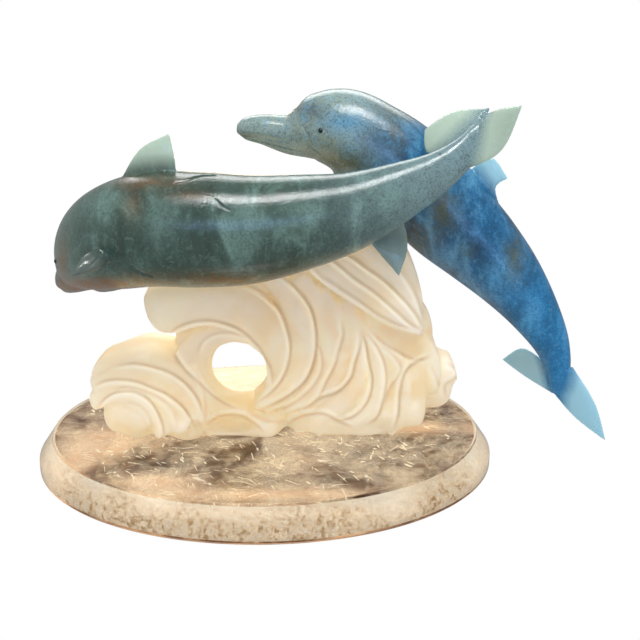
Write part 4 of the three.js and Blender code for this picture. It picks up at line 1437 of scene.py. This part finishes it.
@dataclass
class Base:
    """The oval base of clear crystal, and what is sealed in it.

    Attributes:
        bevel_width: how far the broad bevel steps in.
        bevel_height: how far it rises.
        edge_break: the rounding at its foot.
        polish: the rounding that polishing gives its other edges.
        sides: faces round it.
        bed_inset: how far inside the outline the smoky bed ends.
        bed_height: how high the bed lies.
        bed_swell: how far the bed rises and falls.
        sheet_thickness: how thick a sealed sheet is.
        bend: how far light bends forwards on its way up to the top, against the depth.
        veils: share of the height, way, streak width and fan width in millimetres of each veil.
        bevel_painted_light: how much paler the clouds behind the bevel are painted than those behind the side, a
            painted lift for the light that the bevel catches.
        needles: how many needles and flakes it holds.
        seed: the start of its random draws.
    """

    bevel_width: float = 7.5 * MM
    bevel_height: float = 11 * MM
    edge_break: float = 1.2 * MM
    polish: float = 0.4 * MM
    sides: int = 256
    bed_inset: float = 4.5 * MM
    bed_height: float = 2.6 * MM
    bed_swell: float = 0.9 * MM
    sheet_thickness: float = 0.3 * MM
    bend: float = 0.79
    veils: Sequence[tuple[float, float, float, float]] = (
        (0.36, 0.3, 0.7, 12), (0.56, -0.9, 0.6, 15), (0.78, -0.25, 0.8, 20),
    )
    bevel_painted_light: float = 0.35
    needles: int = 620
    seed: int = 7

    def __post_init__(self) -> None:
        """Reads its size from the frame."""
        low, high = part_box("base")
        self.half = Vector(((high.x - low.x) / 2, (high.y - low.y) / 2, 0))
        self.height = high.z
        self.random = np.random.default_rng(self.seed)

    def draw_up(self, steps: Sequence[tuple[float, float]], closed_ring: bool) -> bmesh.types.BMesh:
        """Draws the oval outline through steps of inset and height.

        Args:
            steps: the steps, from the first ring to the last.
            closed_ring: whether the last ring joins the first; otherwise both ends are capped.

        Returns:
            The closed mesh.
        """
        mesh = bmesh.new()
        ring = bmesh.ops.create_circle(mesh, segments=self.sides, radius=1.0)["verts"]
        edges = first = mesh.edges[:]
        before = (self.half.x - 1.0, self.half.y - 1.0)
        for index, (inset, height) in enumerate(steps):
            if index:
                grown = bmesh.ops.extrude_edge_only(mesh, edges=edges)["geom"]
                ring = [item for item in grown if isinstance(item, bmesh.types.BMVert)]
                edges = [item for item in grown if isinstance(item, bmesh.types.BMEdge)]
            for vert in ring:
                vert.co.x *= (self.half.x - inset) / (self.half.x - before[0])
                vert.co.y *= (self.half.y - inset) / (self.half.y - before[1])
                vert.co.z = height
            before = (inset, inset)
        if closed_ring:
            bmesh.ops.bridge_loops(mesh, edges=first + edges)
        else:
            for loop in (first, edges):
                bmesh.ops.edgeloop_fill(mesh, edges=loop)
        bmesh.ops.recalc_face_normals(mesh, faces=mesh.faces)
        return mesh

    def make_body(self) -> None:
        """The polished oval itself, with its edges rounded."""
        mesh = self.draw_up((
            (self.edge_break, 0.0), (0.0, self.edge_break), (0.0, self.height - self.bevel_height),
            (self.bevel_width, self.height),
        ), closed_ring=False)
        sharp = [edge for edge in mesh.edges if edge.calc_face_angle(0) > math.radians(15)]
        bmesh.ops.bevel(mesh, geom=sharp, offset=self.polish, segments=3, profile=0.5, affect="EDGES", material=-1)
        piece = to_object("base_polished", mesh)
        piece.modifiers.new("flat_faces", "WEIGHTED_NORMAL").weight = 100
        settle(piece)
        finish_piece(piece, ClearCrystal().make(), "clear_crystal", "base")

    def sheet(self, name: str, height: float, phase: float) -> bpy.types.Object:
        """A thin wavy sheet across the stone.

        Args:
            name: the object's name.
            height: how high it lies.
            phase: where its waves start, in radians.

        Returns:
            The new object.
        """
        mesh = bmesh.new()
        inset = self.bed_inset + max(0.0, (height - self.height + self.bevel_height) * 0.7)
        reach = (self.half.x - inset, self.half.y - inset)

        def place(polar: np.ndarray, turn: np.ndarray) -> np.ndarray:
            """Rows run from the middle of its top to the rim and back below."""
            out = 1 - np.abs(2 * polar - 1)
            x, y = reach[0] * out * np.cos(turn), reach[1] * out * np.sin(turn)
            swell = np.sin(x / (11 * MM) + 2 * np.sin(y / (19 * MM)) + phase)
            swell *= np.sin(y / (8 * MM) + x / (23 * MM) - phase)
            thick = np.where(polar < 0.5, 0.5, -0.5) * self.sheet_thickness * (1 - out ** 6)
            return np.stack([x, y, height + self.bed_swell * swell * (1 - out ** 6) + thick], -1)

        add_skin(mesh, 160, 100, place)
        return to_object(name, mesh)

    def make_bed(self) -> None:
        """The smoke low in the stone, pale where the stone is clearer."""
        piece = self.sheet("base_smoke", self.bed_height, 0.0)
        points = points_of(piece)[0]
        points[:, 1] -= self.bend * (self.height - points[:, 2])
        points[:, 2] = self.height
        paint(piece, "tone", tint(VIEW.project(points), BED_TINTS))
        # The smoke carries a painted glow, stronger where it is pale.
        smoke = SealedMineral("smoke_in_quartz", "#7a4a30", "#a06f4c", "#ffdcb4", 13, 6, 0.55, 0.92, 0.22, 0.7)
        finish_piece(piece, smoke.make(), "clear_crystal")

    def make_veils(self) -> None:
        """The feathered veils, each running its own way."""
        for index, (share, turn, streak_mm, fan_mm) in enumerate(self.veils):
            piece = self.sheet(f"base_veil_{index + 1}", self.height * share, index * 1.7)
            veil = FeatheredVeil(f"veil_{index + 1}_in_quartz", "#fff4dc", streak_mm, 0.14, turn, fan_mm)
            finish_piece(piece, veil.make(), "clear_crystal")

    def make_rim(self) -> None:
        """The pale clouds behind the bevel and the side, painted paler where the bevel and its edge catch the light."""
        inner, shell = self.height - self.bevel_height, self.sheet_thickness
        outside = (
            (2.4 * MM, 1.6 * MM), (2.0 * MM, inner - 0.3 * MM), (self.bevel_width + 0.8 * MM, self.height - 2.2 * MM),
        )
        inside = tuple((inset + shell, height - shell / 2) for inset, height in reversed(outside))
        piece = to_object("base_rim_clouds", self.draw_up(outside + inside, closed_ring=True))
        points = points_of(piece)[0]
        # The clouds behind the bevel are painted paler, for the light that the bevel catches; the patches add painted
        # highlights.
        on_bevel = np.where(points[:, 2] > inner, self.bevel_painted_light, 0)
        paint(piece, "tone", np.clip(tint(VIEW.project(points), RIM_CLOUD_AND_HIGHLIGHT_TINTS) + on_bevel, 0, 1))
        clouds = SealedMineral("clouds_in_quartz", "#b89a74", "#efe2ca", "#fffcf2", 2.6, 8, 0.4, 0.85, 0.42, 0.66)
        finish_piece(piece, clouds.make(), "clear_crystal")

    def make_needles(self) -> None:
        """Fine needles and thin flakes that lie in the upper part of the stone."""
        mesh = bmesh.new()
        for index in range(self.needles):
            out, turn = math.sqrt(self.random.random()) * 0.9, self.random.random() * math.tau
            spot = Vector((
                (self.half.x - self.bevel_width) * out * math.cos(turn),
                (self.half.y - self.bevel_width) * out * math.sin(turn),
                self.random.uniform(6.0, 15.5) * MM,
            ))
            tilt = Euler((self.random.normal(0, 0.25), math.pi / 2 + self.random.normal(0, 0.2),
                          self.random.normal(-0.6, 0.6)))
            matrix = Matrix.Translation(spot) @ tilt.to_matrix().to_4x4()
            long = self.random.uniform(2.0, 8.5) * MM
            if index % 3:
                thick = self.random.uniform(0.12, 0.32) * MM
                bmesh.ops.create_cone(
                    mesh, cap_ends=True, segments=5, radius1=thick, radius2=thick * 0.4, depth=long, matrix=matrix,
                )
            else:
                size = Matrix.Diagonal((0.09 * MM, self.random.uniform(0.3, 0.8) * MM, long * 0.35, 1))
                bmesh.ops.create_icosphere(mesh, subdivisions=1, radius=1.0, matrix=matrix @ size)
        bmesh.ops.recalc_face_normals(mesh, faces=mesh.faces)
        # The needles carry a painted glow, standing in for the light that they catch.
        needles = SealedMineral("needles_in_quartz", "#f0e2c6", "#fbf2de", "#fffaf0", 3, glow=0.75)
        finish_piece(to_object("base_needles", mesh), needles.make(), "clear_crystal")

    def make(self) -> None:
        """Makes the base and fills it."""
        self.make_body()
        self.make_bed()
        self.make_veils()
        self.make_rim()
        self.make_needles()


@dataclass
class Studio:
    """A pale floor, soft lights and the photograph's camera.

    Attributes:
        view: where the camera stands.
        soft: how brightly the floor lights the object.
        mirrored: how brightly the floor and the air show in a gloss.
        dome: how bright the air all round is.
    """

    view: Viewpoint = VIEW
    soft: float = 0.95
    mirrored: float = 0.3
    dome: float = 0.7

    def make_camera(self) -> None:
        """Sets up the camera."""
        data = bpy.data.cameras.new("camera")
        data.lens = self.view.lens
        data.sensor_width = self.view.sensor
        data.clip_start = 0.01
        camera = bpy.data.objects.new("camera", data)
        camera.location = self.view.eye()
        camera.rotation_euler = (math.pi / 2 - math.radians(self.view.pitch), 0, 0)
        bpy.context.scene.collection.objects.link(camera)
        bpy.context.scene.camera = camera

    def add_light(self, name: str, place: tuple, size: tuple, watts: float, colour: str = "#ffffff",
                  seen: bool = True, mirrored: bool = True) -> None:
        """Adds a soft rectangular light that faces the object.

        Args:
            name: its name.
            place: where it stands.
            size: its width and height.
            watts: its power.
            colour: its colour.
            seen: whether it shows itself, also through crystal.
            mirrored: whether it shows in a gloss.
        """
        data = bpy.data.lights.new(name, "AREA")
        data.shape = "RECTANGLE"
        data.size, data.size_y = size
        data.energy = watts
        data.color = linear(colour)[:3]
        light = bpy.data.objects.new(name, data)
        light.location = place
        light.visible_camera = light.visible_transmission = seen
        light.visible_glossy = mirrored
        aim = Vector((0, 0, 0.1)) - Vector(place)
        light.rotation_euler = aim.to_track_quat("-Z", "Y").to_euler()
        bpy.context.scene.collection.objects.link(light)

    def make_floor(self) -> None:
        """A wide white floor that glows softly, and less where only a gloss mirrors it."""
        mesh = bmesh.new()
        bmesh.ops.create_circle(mesh, cap_ends=True, segments=64, radius=60.0)
        bmesh.ops.translate(mesh, verts=mesh.verts, vec=(0, 0, -0.2 * MM))
        floor = to_object("studio_floor", mesh)
        material, tree, shader = start_material("pale_floor")
        rays = add_node(tree, "LightPath").outputs
        seen = add_node(tree, "Math", {0: rays["Is Camera Ray"], 1: rays["Is Transmission Ray"]}, operation="MAXIMUM")
        glow = add_node(tree, "Math", {0: seen.outputs[0], 1: 1 - self.soft, 2: self.soft}, operation="MULTIPLY_ADD")
        dimmed = add_node(tree, "Math", {
            0: rays["Is Glossy Ray"], 1: self.mirrored - self.soft, 2: glow.outputs[0],
        }, operation="MULTIPLY_ADD")
        tree.links.new(dimmed.outputs[0], shader.inputs["Emission Strength"])
        set_shader(shader, {
            "Base Color": (0, 0, 0, 1), "Specular IOR Level": 0.0, "Emission Color": (1.0, 1.0, 1.0, 1.0),
        })
        floor.data.materials.append(material)

    def make(self) -> None:
        """Builds the studio."""
        self.make_camera()
        self.make_floor()
        world = bpy.data.worlds.new("studio")
        world.use_nodes = True
        background = world.node_tree.nodes["Background"]
        background.inputs["Color"].default_value = (1, 1, 1, 1)
        rays = add_node(world.node_tree, "LightPath").outputs
        dome = add_node(world.node_tree, "Math", {
            0: rays["Is Glossy Ray"], 1: self.mirrored - self.dome, 2: self.dome,
        }, operation="MULTIPLY_ADD")
        shown = add_node(world.node_tree, "Math", {0: dome.outputs[0], 1: rays["Is Camera Ray"]}, operation="MAXIMUM")
        world.node_tree.links.new(shown.outputs[0], background.inputs["Strength"])
        bpy.context.scene.world = world
        self.add_light("overhead", (0.12, -0.38, 1.1), (0.6, 0.1), 7.0)
        self.add_light("window", (0.1, -1.2, 0.48), (0.9, 0.035), 2.2, "#8fbcff")
        self.add_light("rear", (0.0, 0.9, 0.9), (1.2, 0.5), 8.0)
        self.add_light("glow", (0.0, 0.42, 0.2), (0.3, 0.14), 1.2, "#ffe9bf", seen=False, mirrored=False)
        self.add_light("card", (-0.04, 0.42, 0.155), (0.1, 0.1), 0.1, "#fff0cf", seen=False)
        bpy.context.scene.view_settings.view_transform = "Standard"


def main() -> None:
    """Builds the group in order."""
    logging.basicConfig(level=logging.INFO, format="%(relativeCreated)7d ms %(message)s")
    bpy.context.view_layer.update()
    ground = WaveGround()
    Studio().make()
    eye = DarkEye().make()
    front = Dolphin(
        "front_dolphin", FRONT_POSE, 290 * MM, ground.at(0.082, -0.474, 0.898),
        PolishedBeryl(
            "grey_green_beryl", deep="#31423a", body="#42574e", cloud="#6b877e", head="#61776e", tail="#87a2a8",
            fin="#b9ccb8", flipper="#5b635d", stain_and_edge_glow="#7d5222",
        ),
        "green_stone",
        creases=(
            Crease(((176, 182), (187, 180), (196, 177), (206, 175.5), (216, 175)), 1.5 * MM, 0.7 * MM),
            Crease(((214, 200), (221, 205), (228, 210)), 0.9 * MM, 0.5 * MM),
            Crease(((122, 255), (126, 264), (133, 268), (139, 272), (150, 277)), 1.4 * MM, 0.8 * MM),
            Crease(((104, 248), (99, 257), (90, 266), (80, 273)), 0.9 * MM, 0.5 * MM),
        ),
        # Iron stains, with a painted brown glow along the belly, the ridge and the head's edge.
        stains_and_edge_glow=(
            Patch(100, 288, 52, 9, 1.3), Patch(62, 262, 6, 22, 0.55), Patch(150, 182, 36, 7, 0.5),
            Patch(225, 280, 40, 6, 0.6), Patch(132, 205, 10, 16, 0.35), Patch(190, 196, 22, 5, 0.35),
        ),
        # Darker stone, with painted shade on the belly, under the ridge and beside the flipper.
        darks_and_shade=(
            Patch(121, 238, 8, 18, 0.8), Patch(200, 240, 14, 26, 0.6), Patch(190, 272, 60, 12, 0.75),
            Patch(262, 240, 16, 24, 0.5), Patch(180, 192, 30, 8, 0.5), Patch(330, 238, 30, 10, 0.5),
            Patch(94, 258, 22, 8, 0.5),
        ),
        # Paler cloud, with painted highlights on the head and along the flank where the lights catch it.
        pales_and_highlights=(
            Patch(160, 218, 16, 26, 0.6), Patch(240, 212, 10, 12, 0.55), Patch(95, 205, 16, 14, 0.5),
            Patch(300, 208, 24, 10, 0.4), Patch(385, 195, 22, 10, 0.35),
        ),
    )
    back = Dolphin(
        "back_dolphin", BACK_POSE, 250 * MM, ground.at(0.333, 0.244, 0.892),
        PolishedBeryl(
            "blue_beryl", deep="#0f3c5a", body="#226894", cloud="#5b9dc2", head="#a3b09a", tail="#2480b4",
            fin="#a5d2de", flipper="#8b9a8c", stain_and_edge_glow="#5f6038",
        ),
        "blue_stone",
        creases=(
            Crease(((237, 131), (243, 137), (257, 141.5), (273, 145), (288, 149), (301, 152)), 0.9 * MM, 0.8 * MM),
            Crease(((303, 126), (306, 134), (309, 141), (307, 149)), 1.2 * MM, 0.45 * MM),
            Crease(((309, 146), (318, 153), (326, 163)), 1.2 * MM, 0.5 * MM),
            Crease(((313, 111), (318, 119), (323, 127)), 1.2 * MM, 0.35 * MM),
            Crease(((314, 134), (318, 130), (322, 129.5), (327, 133)), 0.8 * MM, 0.35 * MM),
        ),
        stains_and_edge_glow=(
            Patch(442, 207, 16, 30, 0.8), Patch(345, 163, 26, 12, 0.9), Patch(410, 112, 26, 10, 0.7),
            Patch(515, 258, 12, 26, 0.6), Patch(243, 136, 8, 5, 0.7), Patch(420, 240, 12, 20, 0.5),
            Patch(466, 252, 10, 14, 0.4),
        ),
        # Darker stone, partly painted shade.
        darks_and_shade=(
            Patch(310, 110, 18, 10, 0.5), Patch(458, 226, 14, 18, 0.6), Patch(380, 140, 16, 14, 0.5),
            Patch(548, 350, 10, 22, 0.4), Patch(480, 250, 12, 10, 0.4),
        ),
        # Paler cloud, with a painted highlight on the top of the head.
        pales_and_highlights=(
            Patch(345, 122, 22, 10, 0.7), Patch(496, 276, 14, 20, 0.5), Patch(440, 262, 12, 16, 0.4),
            Patch(528, 318, 10, 14, 0.4),
        ),
    )
    for dolphin in (front, back):
        dolphin.make(eye)
    Wave(ground).make((front, back))
    Base().make()


if __name__ == "__main__":
    main()
